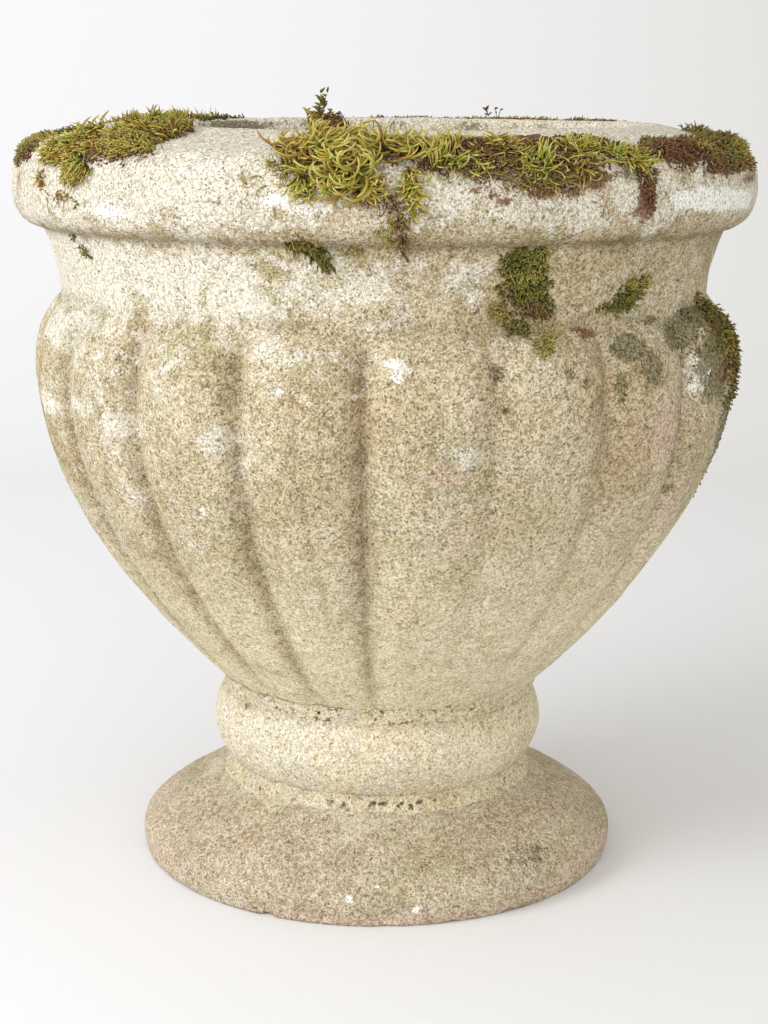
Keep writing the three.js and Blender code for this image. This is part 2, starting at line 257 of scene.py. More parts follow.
def belly_rows(azimuth, lower_count, upper_count):
    """The lobed belly as (rows, columns, 2) of radius and height. Each line down a lobe runs only
    while it is outside the plain core, so the lobes' ends come out rounded."""
    reach_low = 1 - lobe_drop(azimuth, np.full_like(azimuth, 130.0))
    reach_top = 1 - lobe_drop(azimuth, np.full_like(azimuth, 360.0))
    start = share_at_radius(LOWER_BELLY, SEAT_RADIUS / reach_low)
    end = share_at_radius(UPPER_BELLY, NECK_RADIUS / reach_top)
    low = np.linspace(0, 1, lower_count, endpoint=False)[:, None]
    top = np.linspace(0, 1, upper_count)[:, None]
    lower = bezier(LOWER_BELLY, start + (1 - start) * low)
    upper = bezier(UPPER_BELLY, end * top)
    rows = np.concatenate([lower, upper])
    rows[..., 0] *= 1 - lobe_drop(np.broadcast_to(azimuth, rows.shape[:2]), rows[..., 1])
    return rows


def lip(count):
    """The lip's rounding into the mouth, from its crest down: a quarter circle."""
    return [(LIP_CREST[0] - LIP_ROUND * math.sin(a), 461 + LIP_ROUND * math.cos(a))
            for a in np.linspace(0, math.pi / 2, count)]


def bowl_surface(columns=500):
    """The whole bowl as a ring-shaped grid: the underside, the lobed belly, neck, rim, lip, cavity
    wall and floor, each a row of points at one share of its curve."""
    azimuth = GROOVE_AZIMUTH + np.arange(columns) * 360 / columns
    belly = belly_rows(azimuth, 56, 22)
    plain = [
        bezier(NECK, np.linspace(0, 1, 16)),
        bezier(RIM_UNDER, np.linspace(0, 1, 14)[1:]),
        bezier(RIM_ROLL, np.linspace(0, 1, 26)[1:]),
        np.linspace(SHOULDER, LIP_CREST, 12)[1:],
        lip(8)[1:],
        np.linspace((160, 461), (158, 306), 20)[1:],
        bezier([(158, 306), (156, 221.3), (106, 152), (72, 152)], np.linspace(0, 1, 16)[1:]),
        [(54, 152), (36, 152)],
    ]
    plain = np.concatenate([np.asarray(part, dtype=float) for part in plain])
    lower_ring = around(np.full(columns, HOLE), BOWL_BASE, azimuth, SHIFT)
    under = [around(np.full(columns, r), BOWL_BASE, azimuth) for r in (45.0, 80.0, 100.0)]
    belly_points = around(belly[..., 0], belly[..., 1], np.broadcast_to(azimuth, belly.shape[:2]))
    plain_points = carried(plain, azimuth)
    upper_ring = around(np.full(columns, HOLE), FLOOR, azimuth, SHIFT)
    return np.concatenate([lower_ring[None], np.stack(under), belly_points, plain_points,
                           upper_ring[None]])


def turned_surface(profile, columns, shift=0.0):
    """A ring-shaped grid: a closed profile of radius and height carried round the axis."""
    return carried(profile, np.arange(columns) * 360 / columns, shift)


def collar_profile():
    """Lower and upper swelling of the collar, its top and the wall of its hole."""
    lower = bezier([(92, 58), (99.5, 62.5), (107, 77), (107, 86.6)], np.linspace(0, 1, 22))
    upper = bezier([(107, 86.6), (107, 95.5), (103.8, 106.5), (97.5, 111)],
                   np.linspace(0, 1, 22)[1:])
    return np.concatenate([lower, upper, [(70, 111), (40, 111), (HOLE, 111), (HOLE, 84), (HOLE, 58),
                                          (40, 58), (70, 58)]])


def foot_profile():
    """The foot's toe, its flare up to the seat, the wall of its hole and the dish under it."""
    toe = bezier([(152.5, 0), (155, 4.9), (155, 14)], np.linspace(0, 1, 9))
    flare = bezier([(155, 14), (155, 25.9), (111.6, 42.7), (95.5, 55)], np.linspace(0, 1, 34)[1:])
    dish = bezier([(112, 0), (112, 16), (80.6, 16)], np.linspace(0, 1, 9))[::-1]
    hole = [(70, 55), (40, 55), (HOLE, 55), (HOLE, 35), (HOLE, 16), (45, 16)]
    return np.concatenate([toe, flare, hole, dish, [(125, 0), (140, 0), (148, 0)]])


def mortar_bead(seed, face, core, shift, lobed=0.0, columns=900):
    """Crumbly mortar squeezed out of a joint: a closed section, its face a Bezier curve and its
    core the points behind it, carried round the axis. The face is pushed out and in along its
    normals by lumps of 22, 5 and 2.4 mm noise, and drops into voids where a 3.2 mm noise is high.
    Returns the points and how deep in a void each is; the voids are also painted dark as shade."""
    face = bezier(face, np.linspace(0, 1, 26))
    section = np.concatenate([face, np.asarray(core, dtype=float)])
    outer = np.sin(np.linspace(0.25, math.pi - 0.25, len(face)))
    outer = np.concatenate([outer, np.zeros(len(core))])
    azimuth = np.broadcast_to(np.arange(columns) * 360 / columns, (len(section), columns))
    drop = lobed * lobe_drop(azimuth, 130.0 + 0 * azimuth) * smooth(110, 117, section[:, 1:])
    radius = section[:, :1] * (1 - drop)
    points = around(radius, section[:, 1:] + 0 * azimuth, azimuth, shift)
    void = smooth(0.34, 0.62, cloud(points, 3.2, seed + 7, 2)) * outer[:, None]
    push = 1.5 * cloud(points, 22, seed) + 0.8 * cloud(points, 5, seed + 3, 2)
    push = push + 0.5 * cloud(points, 2.4, seed + 5, 1)
    return points + ring_normals(points) * (push * outer[:, None] - 2.4 * void)[..., None], void


OUTSIDE = np.concatenate([
    bezier(LOWER_BELLY, np.linspace(0, 1, 120)),
    bezier(UPPER_BELLY, np.linspace(0, 1, 40)),
    bezier(NECK, np.linspace(0, 1, 30)),
    bezier(RIM_UNDER, np.linspace(0, 1, 30)),
    bezier(RIM_ROLL, np.linspace(0, 1, 40)),
    np.linspace(SHOULDER, LIP_CREST, 20),
    lip(12),
    np.linspace((160, 461), (159.4, 420), 8),
])[::-1]
STEPS = np.maximum(np.linalg.norm(np.diff(OUTSIDE, axis=0), axis=1), 1e-6)
WAY = np.concatenate([[0], np.cumsum(STEPS)])
WAY -= WAY[np.argmin(np.hypot(OUTSIDE[:, 0] - LIP_CREST[0], OUTSIDE[:, 1] - LIP_CREST[1]))]


def on_bowl(azimuth, way, lift=0.0):
    """Points on the bowl from their azimuth, their way down the outline from the lip's crest
    (below 0 it runs down inside the mouth) and their lift off the stone, and the outward, downward
    and sideways directions there."""
    azimuth, way = np.broadcast_arrays(np.asarray(azimuth, float), np.asarray(way, float))
    radius, height = (np.interp(way, WAY, OUTSIDE[:, i]) for i in (0, 1))
    step = [np.interp(way + 1.5, WAY, OUTSIDE[:, i]) - np.interp(way - 1.5, WAY, OUTSIDE[:, i])
            for i in (0, 1)]
    length = np.maximum(np.hypot(*step), 1e-6)
    run, fall = step[0] / length, step[1] / length
    lobed = radius * (1 - lobe_drop(azimuth, height) * smooth(152, 175, way))
    radius = np.where(way > 150, lobed, radius)
    angle = np.radians(azimuth)
    east = np.stack([np.sin(angle), -np.cos(angle), 0 * angle], axis=-1)
    side = np.stack([np.cos(angle), np.sin(angle), 0 * angle], axis=-1)
    zenith = np.array([0.0, 0.0, 1.0])
    down = run[..., None] * east + fall[..., None] * zenith
    out = -fall[..., None] * east + run[..., None] * zenith
    place = radius[..., None] * east + height[..., None] * zenith
    return place + out * np.asarray(lift)[..., None], out, down, side


# -------------------------------- weathering of the surfaces


def spots(text):
    """Soft round spots from text, each an azimuth, a height, half a width in degrees, half a
    height and a strength. Commas part the spots."""
    return [tuple(map(float, spot.split())) for spot in text.split(",")]


def patches(azimuth, height, several):
    """The strongest of several spots at each place. A spot fades as a bell curve."""
    value = np.zeros_like(height)
    for at, up, wide, tall, strength in several:
        away = (azimuth - at + 180) % 360 - 180
        bell = np.exp(-((away / wide) ** 2 + ((height - up) / tall) ** 2))
        value = np.maximum(value, strength * bell)
    return value


def casting(name, points, material, slot, marks):
    """A piece whose surface is one ring-shaped grid of points."""
    faces = ring_faces(*points.shape[:2])
    return make_mesh(name, points.reshape(-1, 3), faces, material, slot, marks)


def azimuth_of(points, shift=0.0):
    """Azimuth in degrees of points round the vertical axis."""
    return np.degrees(np.arctan2(points[..., 0] + shift, -points[..., 1]))


def weather(points, depth=1.0, seed=1):
    """Points moved along their normals: a slow unevenness of the mould, worn lumps, and scattered
    pits where a softer noise passes a threshold."""
    normals = ring_normals(points)
    slow = 0.9 * cloud(points, 95, seed)
    worn = 0.55 * cloud(points, 19, seed + 5)
    grainy = 0.3 * cloud(points, 6.5, seed + 9, 2)
    pits = -1.1 * smooth(0.4, 0.7, cloud(points, 8, seed + 13, 2))
    return points + normals * ((slow + worn + grainy + pits) * depth)[..., None]


def mould_seam(azimuth, height):
    """A faint line down the middle of one lobe, where two parts of the mould met."""
    away = (azimuth + 11.5 + 1.2 * np.sin(height / 40)) / 0.45
    return np.exp(-away * away) * smooth(170, 200, height) * (1 - smooth(345, 360, height))


LICHEN_SPOTS = spots("""
    -78 392 24 26 1, -48 390 12 18 0.85, -30 385 10 14 0.6, -16 388 8 16 0.75, -25 371 30 6 0.8,
    4 372 14 5 0.6, 33 366 7 4 0.6, -42 303 6 12 0.8, -54 312 10 12 0.6, -66 306 5 8 0.9,
    -24.5 303 5 13 0.72, -21 290 3 16 0.6, 2 346 2.4 8 0.9, 58 330 4 16 0.85, -10 352 8 8 0.6,
    20 355 5 6 0.5, -60 350 12 14 0.62, -33 348 8 10 0.6, 12 300 7 14 0.45, -44 262 4 16 0.6,
    52 431 9 6 1.5, 62 428 7 6 1.4, 44 429 4 5 1.1, -52 433 22 9 0.9, -25 436 18 10 0.85,
    2 436 14 9 0.8, 24 434 12 8 0.75, -80 436 16 10 0.7, 110 436 30 10 0.8, 160 434 26 10 0.75,
    -150 436 30 10 0.8, -115 436 16 9 0.7, 130 388 26 15 0.7, -160 386 30 16 0.8,
    -115 380 16 12 0.7, 100 310 9 14 0.6, 140 300 10 12 0.6, 180 320 9 14 0.65, -140 306 11 12 0.6,
    -100 312 8 12 0.6
""")
PAINT_SPOTS = spots("""
    -14.5 332.4 0.6 2.4 1.1, -12.6 332 0.45 1.5 0.9, -4 330 0.5 2 1.3, 1.2 348 1.3 3 1,
    2 341 0.9 4 1, -28.5 261 0.7 2.6 1.1, -27.8 255 0.4 1.8 0.9, -65 307 1.6 3 0.9,
    56 322 1.6 6 0.8, 57.5 338 0.9 2 0.8, 60 330 0.7 2 0.8, 46 432 3.5 5 1.4, 51 431.5 4 6 1.9,
    56 430.5 4 6 1.9, 61 429.5 4 5.5 1.8, 66 428 4 5 1.4, -41 425 6 6 0.75, -14 434 3 6 0.8,
    -9 431 4 5 0.75, -3 430 4 5 0.5, 22 430 6 5 0.42, -56 428 5 6 0.5, 128 330 1 3 1,
    -120 300 0.8 3 1, 168 345 1.2 3 0.9
""")
BROWN_SPOTS = spots("""
    38 431 1.9 11 1.25, 15.6 434 1.3 2.4 1.1, 16.5 421 0.8 2 0.8, 21 438 2.4 3.5 1,
    25.6 438 1.3 3.6 1.1, 29 443 2.2 5 1.1, 30.5 428 1 2.2 0.9, 12 440 1.4 2.4 0.8,
    51.5 432 0.8 2 0.9, 46.5 425 1.4 2 0.8, 33 359 2.4 2.6 1.1, 31 362 1.6 1.6 0.9,
    17.5 322 0.7 2.2 0.9, 64 328 1.6 4 0.8, 58 446 8 4 0.7, -33 452 1.6 3 0.5, 14 330 0.9 2 0.6,
    12 447 3 3 0.8, -22 433 0.5 2.4 0.7, 72 225 3 12 0.5, 68 440 6 4 0.7, 23 441 1.6 2.4 1.2,
    27 444 1.4 2 1.1, 31 446 2.2 2.6 1, 19 443 1.6 2.2 1.1, 14 437 0.9 3 0.8, 36 426 1 2.4 0.9,
    170 450 7 4 0.7, -130 448 6 4 0.7, 95 448 8 4 0.7
""")
BLUSH_SPOTS = spots("""
    9 288 6 12 0.8, 12 250 4 12 0.65, 48 300 6 30 0.9, 58 250 7 24 0.75, -27 448 9 12 0.95,
    -20 440 7 10 0.6, -38 440 5 6 0.6, -40 300 4 16 0.5, 63 390 8 10 0.6, -50 455 20 6 0.4,
    -10 300 1.5 8 0.5, -5 395 12 8 0.45, 14 325 3 8 0.5, -33 270 3 20 0.4, 70 320 3 12 0.6
""")
INNER_SPOTS = spots("-140 460 11 60 0.95, 158 466 6 30 0.6")
DARK_SPOTS = spots("""
    40 350 3.6 8 1.25, 43.5 338 2.4 10 1.2, 37.5 330 1.2 12 0.9, 27.5 340 1.6 5 0.8,
    30.5 334 1.2 5 0.7, 54 352 6 8 1.2, 55.5 262 1.6 5 0.8, 16.5 340 2 12 0.6, 66 332 11 26 1.05,
    61 360 9 7 1.1, -2.6 246 0.4 1.8 1.6, -2.6 262 0.3 1.2 1, 16.8 265 1.2 4 0.5, 68 247 2.6 10 1,
    72 222 3 16 0.8, -65 290 8 10 0.4, 82 290 9 46 0.85, 19 372 7 8 0.6, 40 372 8 6 0.6,
    47 363 6 3 0.7, 36 448 6 8 0.6, -44 342 1.5 6 0.5, -25 342 1.5 8 0.5, -21 331 1.2 6 0.5,
    150 345 8 10 0.7, -130 350 8 8 0.6
""")


def frost(azimuth, height):
    """How thickly white lichen covers the bowl: the share of grains that it hides. It is thick on
    the rim and on the neck's left, thins out down the belly, and is thin to the right and low
    down. Under the rim and on the rim's top the cover is raised further, partly as painted light."""
    front_right = smooth(-35, 25, azimuth) * (1 - smooth(95, 130, azimuth))
    belly = 0.33 - 0.1 * front_right
    belly = belly + (0.18 - 0.06 * front_right) * smooth(325, 362, height)
    belly = belly - 0.14 * (1 - smooth(150, 260, height))
    neck = 0.68 - 0.42 * smooth(-25, 50, azimuth) * (1 - smooth(95, 130, azimuth))
    # Under the rim the cover is raised, partly as painted light on the shaded underside.
    under = 0.46 - 0.2 * front_right
    nose = 0.66 - 0.06 * front_right
    value = belly + (neck - belly) * smooth(362, 372, height)
    value = value + (under - value) * smooth(400, 409, height)
    value = value + (nose - value) * smooth(412, 426, height)
    # On the rim's top the cover is raised, partly real lichen and partly painted light.
    return value + 0.32 * smooth(450, 462, height)


def groove_dirt_and_shade(azimuth, height):
    """Dirt held in the grooves together with painted shade, most of it on the side that faces
    right, away from the light.
    """
    turns = (azimuth - GROOVE_AZIMUTH) / 360 * LOBES
    part = turns - np.floor(turns)
    sides = smooth(0.74, 0.985, part) + 0.35 * (1 - smooth(0.01, 0.12, part))
    held = sides * groove_wear(azimuth, height)
    return held * smooth(118, 150, height) * (1 - smooth(345, 360, height))


def bowl_marks_of(points):
    """The masks that colour the bowl, from 0 to about 1: white lichen, crisp white spots, red-brown
    crust, pinkish blush, dark growth, dirt and painted shade in the grooves and creases, and how
    green-yellow the stone is low down."""
    azimuth = azimuth_of(points)
    height = points[..., 2]
    radius = np.hypot(points[..., 0], points[..., 1])
    inside = (1 - smooth(161, 166, radius)) * smooth(180, 230, height)
    lichen = np.maximum(frost(azimuth, height), patches(azimuth, height, LICHEN_SPOTS))
    bare = 0.2 * cloud(points, 60, 31, 2) + 0.3 * cloud(points, 19, 37, 2)
    bare = bare + 0.22 * cloud(points, 8, 39, 2)
    bare = bare * (0.5 + 0.5 * smooth(330, 358, height))
    # Dirt and painted shade in the grooves, then painted shade in the creases under the neck, at
    # 366 mm, and under the rim, at 410 mm.
    dirt_and_shade = 0.55 * groove_dirt_and_shade(azimuth, height)
    crease_shade = 0.45 * np.exp(-(((height - 366) / 5) ** 2)) * (0.6 + 0.8 * cloud(points, 30, 41))
    dirt_and_shade = np.maximum(dirt_and_shade, crease_shade)
    dirt_and_shade = np.maximum(dirt_and_shade, 0.5 * np.exp(-(((height - 410) / 3.5) ** 2)))
    growth = patches(azimuth, height, DARK_SPOTS) * (1 - inside)
    growth = np.maximum(growth, inside * (0.3 + 0.6 * cloud(points, 15, 43)))
    growth = np.maximum(growth, inside * patches(azimuth, height, INNER_SPOTS))
    low = 1 - smooth(130, 290, height - 26 * np.sin(np.radians(azimuth)))
    return {
        "lichen": (lichen - bare) * (1 - 0.35 * inside),
        "paint": patches(azimuth, height, PAINT_SPOTS) * (1 - inside),
        "crust": patches(azimuth, height, BROWN_SPOTS) * (1 - inside),
        "blush": patches(azimuth, height, BLUSH_SPOTS),
        "growth": growth,
        "dirt_and_shade": (dirt_and_shade + 0.3 * mould_seam(azimuth, height)) * (1 - inside),
        "algae": np.maximum(low, 0.8 * inside),
        "pepper": smooth(406, 424, height) * (0.75 + 0.5 * cloud(points, 26, 45)),
    }


FOOT_PAINT = spots("""
    -5.9 17.7 0.9 2 1.3, -8 19 1.6 2 0.55, 0.2 23.4 0.9 0.9 1.1, 9 10.8 1.1 2.3 1.3
""")
FOOT_BLUSH = spots("""
    66 12 14 12 1, 45 8 14 6 0.9, 0 3 50 4 0.8, -64 10 14 12 0.8, -90 30 16 10 0.5, 160 10 40 6 0.7,
    110 8 20 6 0.5
""")
FOOT_STAIN = spots("42 27 12 12 0.55, 30 20 10 8 0.4")
COLLAR_CRUST = spots("""
    -54.5 107 3.4 2.2 0.62, -51 105 3 2 0.4, 130 100 4 3 0.5
""")


def pedestal_marks(points, frosted, joint_shade, base, top, crust=(), blush=(), paint=(), smear=0.0,
                   green=0.6, peppered=0.15, stain=()):
    """The same masks for the collar, foot and mortar: lichen on the left and front, mortar smeared
    down from the joint above by the smear, and painted shade near both joints, where the parts
    meet."""
    azimuth = azimuth_of(points, SHIFT)
    height = points[..., 2]
    front_right = smooth(-20, 50, azimuth) * (1 - smooth(110, 150, azimuth))
    edge = np.exp(-(((height - top) / 4) ** 2)) + np.exp(-(((height - base) / 4) ** 2))
    lichen = frosted * (1 - 0.7 * front_right) - 0.24 * cloud(points, 36, 51)
    lichen = lichen - 0.15 * cloud(points, 12, 57)
    flushed = 0.4 * smooth(0.25, 0.7, cloud(points, 50, 61))
    grown = 0.55 * smooth(0.35, 0.7, cloud(points, 7, 63, 2)) * edge
    run = smear * np.exp(-np.maximum(top - height, 0) / (12 + 9 * cloud(points, 26, 59)))
    return {
        "lichen": np.maximum(lichen, run * (0.8 + 0.4 * cloud(points, 14, 60))),
        "paint": patches(azimuth, height, paint),
        "crust": patches(azimuth, height, crust),
        "blush": np.maximum(flushed, patches(azimuth, height, blush)),
        "growth": np.maximum(grown, patches(azimuth, height, stain)),
        # Painted shade near both joints, made uneven by a 16 mm noise.
        "dirt_and_shade": joint_shade * edge * (0.6 + 0.6 * cloud(points, 16, 67)),
        "algae": green + 0.4 * cloud(points, 60, 71),
        "pepper": np.full(height.shape, peppered),
    }


# -------------------------------- shader building blocks


def srgb(text):
    """A linear colour from its text, #rrggbb."""
    parts = [int(text[i:i + 2], 16) / 255 for i in (1, 3, 5)]
    linear = [c / 12.92 if c <= 0.04045 else ((c + 0.055) / 1.055) ** 2.4 for c in parts]
    return (*linear, 1.0)


class Shader:
    """Short ways to add nodes to a material or group, and to join them."""

    def __init__(self, tree):
        self.tree = tree
        self.nodes = tree.nodes

    def put(self, socket, value):
        if isinstance(value, bpy.types.NodeSocket):
            self.tree.links.new(value, socket)
        else:
            socket.default_value = srgb(value) if isinstance(value, str) else value

    def add(self, kind, inputs=None, **settings):
        node = self.nodes.new(kind)
        for key, value in settings.items():
            setattr(node, key, value)
        for key, value in (inputs or {}).items():
            self.put(node.inputs[key], value)
        return node

    def math(self, operation, a, b):
        return self.add("ShaderNodeMath", {0: a, 1: b}, operation=operation).outputs[0]

    def times(self, a, b):
        return self.math("MULTIPLY", a, b)

    def plus(self, a, b):
        return self.math("ADD", a, b)

    def minus(self, a, b):
        return self.math("SUBTRACT", a, b)

    def blend(self, share, a, b, mode="MIX"):
        node = self.add("ShaderNodeMix", data_type="RGBA", blend_type=mode)
        for place, value in ((0, share), (6, a), (7, b)):
            self.put(node.inputs[place], value)
        return node.outputs[2]

    def ramp(self, value, low, high, from_low=0.0, to_high=1.0):
        node = self.add("ShaderNodeMapRange", {0: value, 1: low, 2: high, 3: from_low, 4: to_high},
                        interpolation_type="SMOOTHSTEP")
        return node.outputs[0]

    def noise(self, place, scale, detail, roughness):
        settings = {"Vector": place, "Scale": scale, "Detail": detail, "Roughness": roughness}
        return self.add("ShaderNodeTexNoise", settings).outputs["Fac"]

    def cells(self, place, scale):
        return self.add("ShaderNodeTexVoronoi", {"Vector": place, "Scale": scale})

    def mark(self, name):
        return self.add("ShaderNodeAttribute", attribute_name=name).outputs["Fac"]

    def place(self):
        return self.add("ShaderNodeTexCoord").outputs["Object"]


def new_group(name, inputs, outputs):
    """An empty node group with sockets. inputs maps a name to (socket type, default)."""
    group = bpy.data.node_groups.new(name, "ShaderNodeTree")
    for key, (kind, default) in inputs.items():
        socket = group.interface.new_socket(key, in_out="INPUT", socket_type=kind)
        if default is not None:
            socket.default_value = default
    for key, kind in outputs.items():
        group.interface.new_socket(key, in_out="OUTPUT", socket_type=kind)
    s = Shader(group)
    return group, s, s.add("NodeGroupInput").outputs, s.add("NodeGroupOutput").inputs


def use_group(s, group, inputs):
    """The group placed in a material or in another group, with its own values."""
    node = s.add("ShaderNodeGroup")
    node.node_tree = group
    for key, value in inputs.items():
        s.put(node.inputs[key], value)
    return node.outputs


def finish_surface(s, shader, colour, roughness, specular=None, height=None, distance=0.0,
                   strength=1.0):
    """The shader's colour, roughness and specular level, and a bump by a height."""
    s.put(shader.inputs["Base Color"], colour)
    s.put(shader.inputs["Roughness"], roughness)
    if specular is not None:
        shader.inputs["Specular IOR Level"].default_value = specular
    if height is not None:
        relief = {"Height": height, "Distance": distance, "Strength": strength}
        bump = s.add("ShaderNodeBump", relief)
        s.put(shader.inputs["Normal"], bump.outputs["Normal"])


def new_material(name):
    """A material with a Principled shader. Returns the material, its helper and the shader node."""
    material = bpy.data.materials.new(name)
    material.use_nodes = True
    s = Shader(material.node_tree)
    shader = s.nodes["Principled BSDF"]
    return material, s, shader


# -------------------------------- effects that several materials use


def sand_grain_group():
    """Sand and crushed stone in a weathered cement skin. Grain is the light and dark of single
    grains, Mottle the blotches of some centimetres, Pits the dark holes and specks, Flecks the few
    pale grains, Gaps the dark between crystals of lichen, and Height the relief."""
    group, s, given, out = new_group(
        "sand_grain",
        {"Place": ("NodeSocketVector", None)},
        {key: "NodeSocketFloat" for key in ("Grain", "Mottle", "Pits", "Flecks", "Gaps", "Height")},
    )
    place = given["Place"]
    fine = s.noise(place, 1500.0, 1.0, 0.5)
    coarse = s.noise(place, 230.0, 3.0, 0.6)
    sand = s.cells(place, 900.0)
    crystals = s.cells(place, 520.0)
    grain = s.plus(s.times(fine, 0.4), s.times(sand.outputs["Color"], 0.35))
    grain = s.plus(grain, s.times(coarse, 0.25))
    s.put(out["Grain"], s.ramp(grain, 0.34, 0.66))
    mottle = s.plus(s.times(s.noise(place, 26.0, 4.0, 0.6), 0.7), s.times(coarse, 0.3))
    s.put(out["Mottle"], s.ramp(mottle, 0.38, 0.6))
    chosen = crystals.outputs["Color"]
    near = s.ramp(crystals.outputs["Distance"], 0.16, 0.42, 1.0, 0.0)
    specks = s.times(near, s.ramp(chosen, 0.62, 0.74))
    holes = s.ramp(s.noise(place, 330.0, 3.0, 0.65), 0.62, 0.7)
    pits = s.math("MAXIMUM", specks, holes)
    s.put(out["Pits"], pits)
    s.put(out["Flecks"], s.times(near, s.ramp(chosen, 0.3, 0.2)))
    s.put(out["Gaps"], s.ramp(crystals.outputs["Distance"], 0.48, 0.8))
    height = s.plus(s.times(fine, 0.5), s.times(near, 0.35))
    height = s.plus(height, s.times(coarse, 1.3))
    s.put(out["Height"], s.minus(height, s.times(pits, 0.9)))
    return group


def ragged_group():
    """A soft mask made ragged: the mask plus noise of two sizes, cut at a threshold, so that a
    faint mask gives scattered flecks and a strong one a nearly whole cover."""
    group, s, given, out = new_group(
        "ragged_edge",
        {"Place": ("NodeSocketVector", None), "Mask": ("NodeSocketFloat", 0.0),
         "Scale": ("NodeSocketFloat", 120.0), "Spread": ("NodeSocketFloat", 0.6),
         "Cut": ("NodeSocketFloat", 0.5)},
        {"Mask": "NodeSocketFloat"},
    )
    wide = s.noise(given["Place"], given["Scale"], 4.0, 0.7)
    fine = s.noise(given["Place"], s.times(given["Scale"], 5.5), 1.0, 0.5)
    wild = s.plus(s.times(wide, 0.62), s.times(fine, 0.38))
    shifted = s.plus(given["Mask"], s.times(s.minus(wild, 0.5), given["Spread"]))
    low = s.minus(given["Cut"], 0.1)
    high = s.plus(given["Cut"], 0.1)
    s.put(out["Mask"], s.ramp(shifted, low, high))
    return group


SAND_GRAIN = sand_grain_group()
RAGGED = ragged_group()


def stone_material(name, dark, light, blotch_colour, algae_colour, white_colour="#f8f4e9",
                   relief=0.0012):
    """Weathered cast stone: sandy grains between a dark and a light colour, warm and greenish
    tints of a hand's width, blotches, greenish cream growth low down, white lichen of small
    crystals, red-brown crust, pink blush, dark growth with painted shade in the mortar's voids,
    crisp white spots, and dirt and painted shade by the piece's marks."""
    material, s, shader = new_material(name)
    place = s.place()
    sand = use_group(s, SAND_GRAIN, {"Place": place})
    grain = sand["Grain"]

    def cover(colour, mark, scale, spread, strength, low, high):
        settings = {"Place": place, "Mask": s.mark(mark), "Scale": scale, "Spread": spread}
        mask = use_group(s, RAGGED, settings)["Mask"]
        return s.blend(s.times(mask, strength), colour, s.blend(grain, low, high)), mask

    def tint(colour, share, by):
        return s.blend(share, colour, s.blend(1.0, colour, by, "MULTIPLY"))

    colour = s.blend(grain, dark, light)
    colour = tint(colour, s.ramp(s.noise(place, 15.0, 3.0, 0.6), 0.5, 0.66, 0.0, 0.4), "#f4e0d2")
    colour = tint(colour, s.ramp(s.noise(place, 21.0, 3.0, 0.6), 0.5, 0.66, 0.0, 0.6), "#e2e6d2")
    colour = tint(colour, s.times(s.minus(1.0, sand["Mottle"]), 0.45), blotch_colour)
    algae = s.times(s.mark("algae"), s.ramp(s.noise(place, 45.0, 4.0, 0.65), 0.25, 0.55, 0.4, 0.9))
    colour = s.blend(algae, colour, s.blend(grain, algae_colour, "#f3ebd0"))
    colour, _ = cover(colour, "blush", 90.0, 1.2, 0.52, "#a58774", "#e2cab7")
    colour = s.blend(s.times(sand["Flecks"], 0.5), colour, "#f3ecda")
    colour, lichen = cover(colour, "lichen", 130.0, 1.5, 0.86, "#cfc6b2", white_colour)
    colour = tint(colour, s.times(s.times(lichen, sand["Gaps"]), 0.5), "#94866c")
    # Dark growth; on the mortar this mark also holds painted shade in the voids.
    colour, _ = cover(colour, "growth", 150.0, 1.5, 0.8, "#3a3623", "#8e8462")
    colour, _ = cover(colour, "crust", 520.0, 3.0, 0.92, "#4f321f", "#916648")
    uneven = s.times(s.minus(s.noise(place, 420.0, 4.0, 0.7), 0.5), 1.9)
    painted = s.ramp(s.plus(s.mark("paint"), uneven), 0.45, 0.65)
    colour = s.blend(painted, colour, s.blend(grain, "#e6e3d8", "#fbfaf5"))
    # Dirt and painted shade: the mark, made patchy by a noise, tints the colour towards #a1947a.
    patchy = s.ramp(s.noise(place, 140.0, 4.0, 0.65), 0.3, 0.62, 0.45, 1.15)
    dirt_and_shade = s.times(s.mark("dirt_and_shade"), patchy)
    colour = tint(colour, dirt_and_shade, "#a1947a")
    sparse = s.minus(0.62, s.times(s.mark("algae"), 0.35))
    colour = s.blend(s.times(sand["Pits"], sparse), colour, "#5d5340")
    specks = s.ramp(s.noise(place, 820.0, 2.0, 0.6), 0.53, 0.63)
    colour = s.blend(s.times(s.times(specks, s.mark("pepper")), 0.62), colour, "#7d7059")
    raised = s.plus(sand["Height"], s.times(lichen, 0.3))
    finish_surface(s, shader, colour, 0.95, 0.2, raised, relief, 0.9)
    return material


def metal_material():
    """Dull galvanised tube, with spangle and pale oxide."""
    material, s, shader = new_material("galvanised")
    place = s.place()
    spangle = s.cells(place, 160.0).outputs["Color"]
    colour = s.blend(0.35, s.blend(0.5, "#8b8e8d", "#a5a8a5"), spangle, "SOFT_LIGHT")
    oxide = s.ramp(s.noise(place, 90.0, 4.0, 0.6), 0.5, 0.68)
    s.put(shader.inputs["Base Color"], s.blend(oxide, colour, "#b9b7ac"))
    s.put(shader.inputs["Roughness"], s.ramp(oxide, 0.0, 1.0, 0.42, 0.85))
    s.put(shader.inputs["Metallic"], s.ramp(oxide, 0.0, 1.0, 0.9, 0.25))
    return material


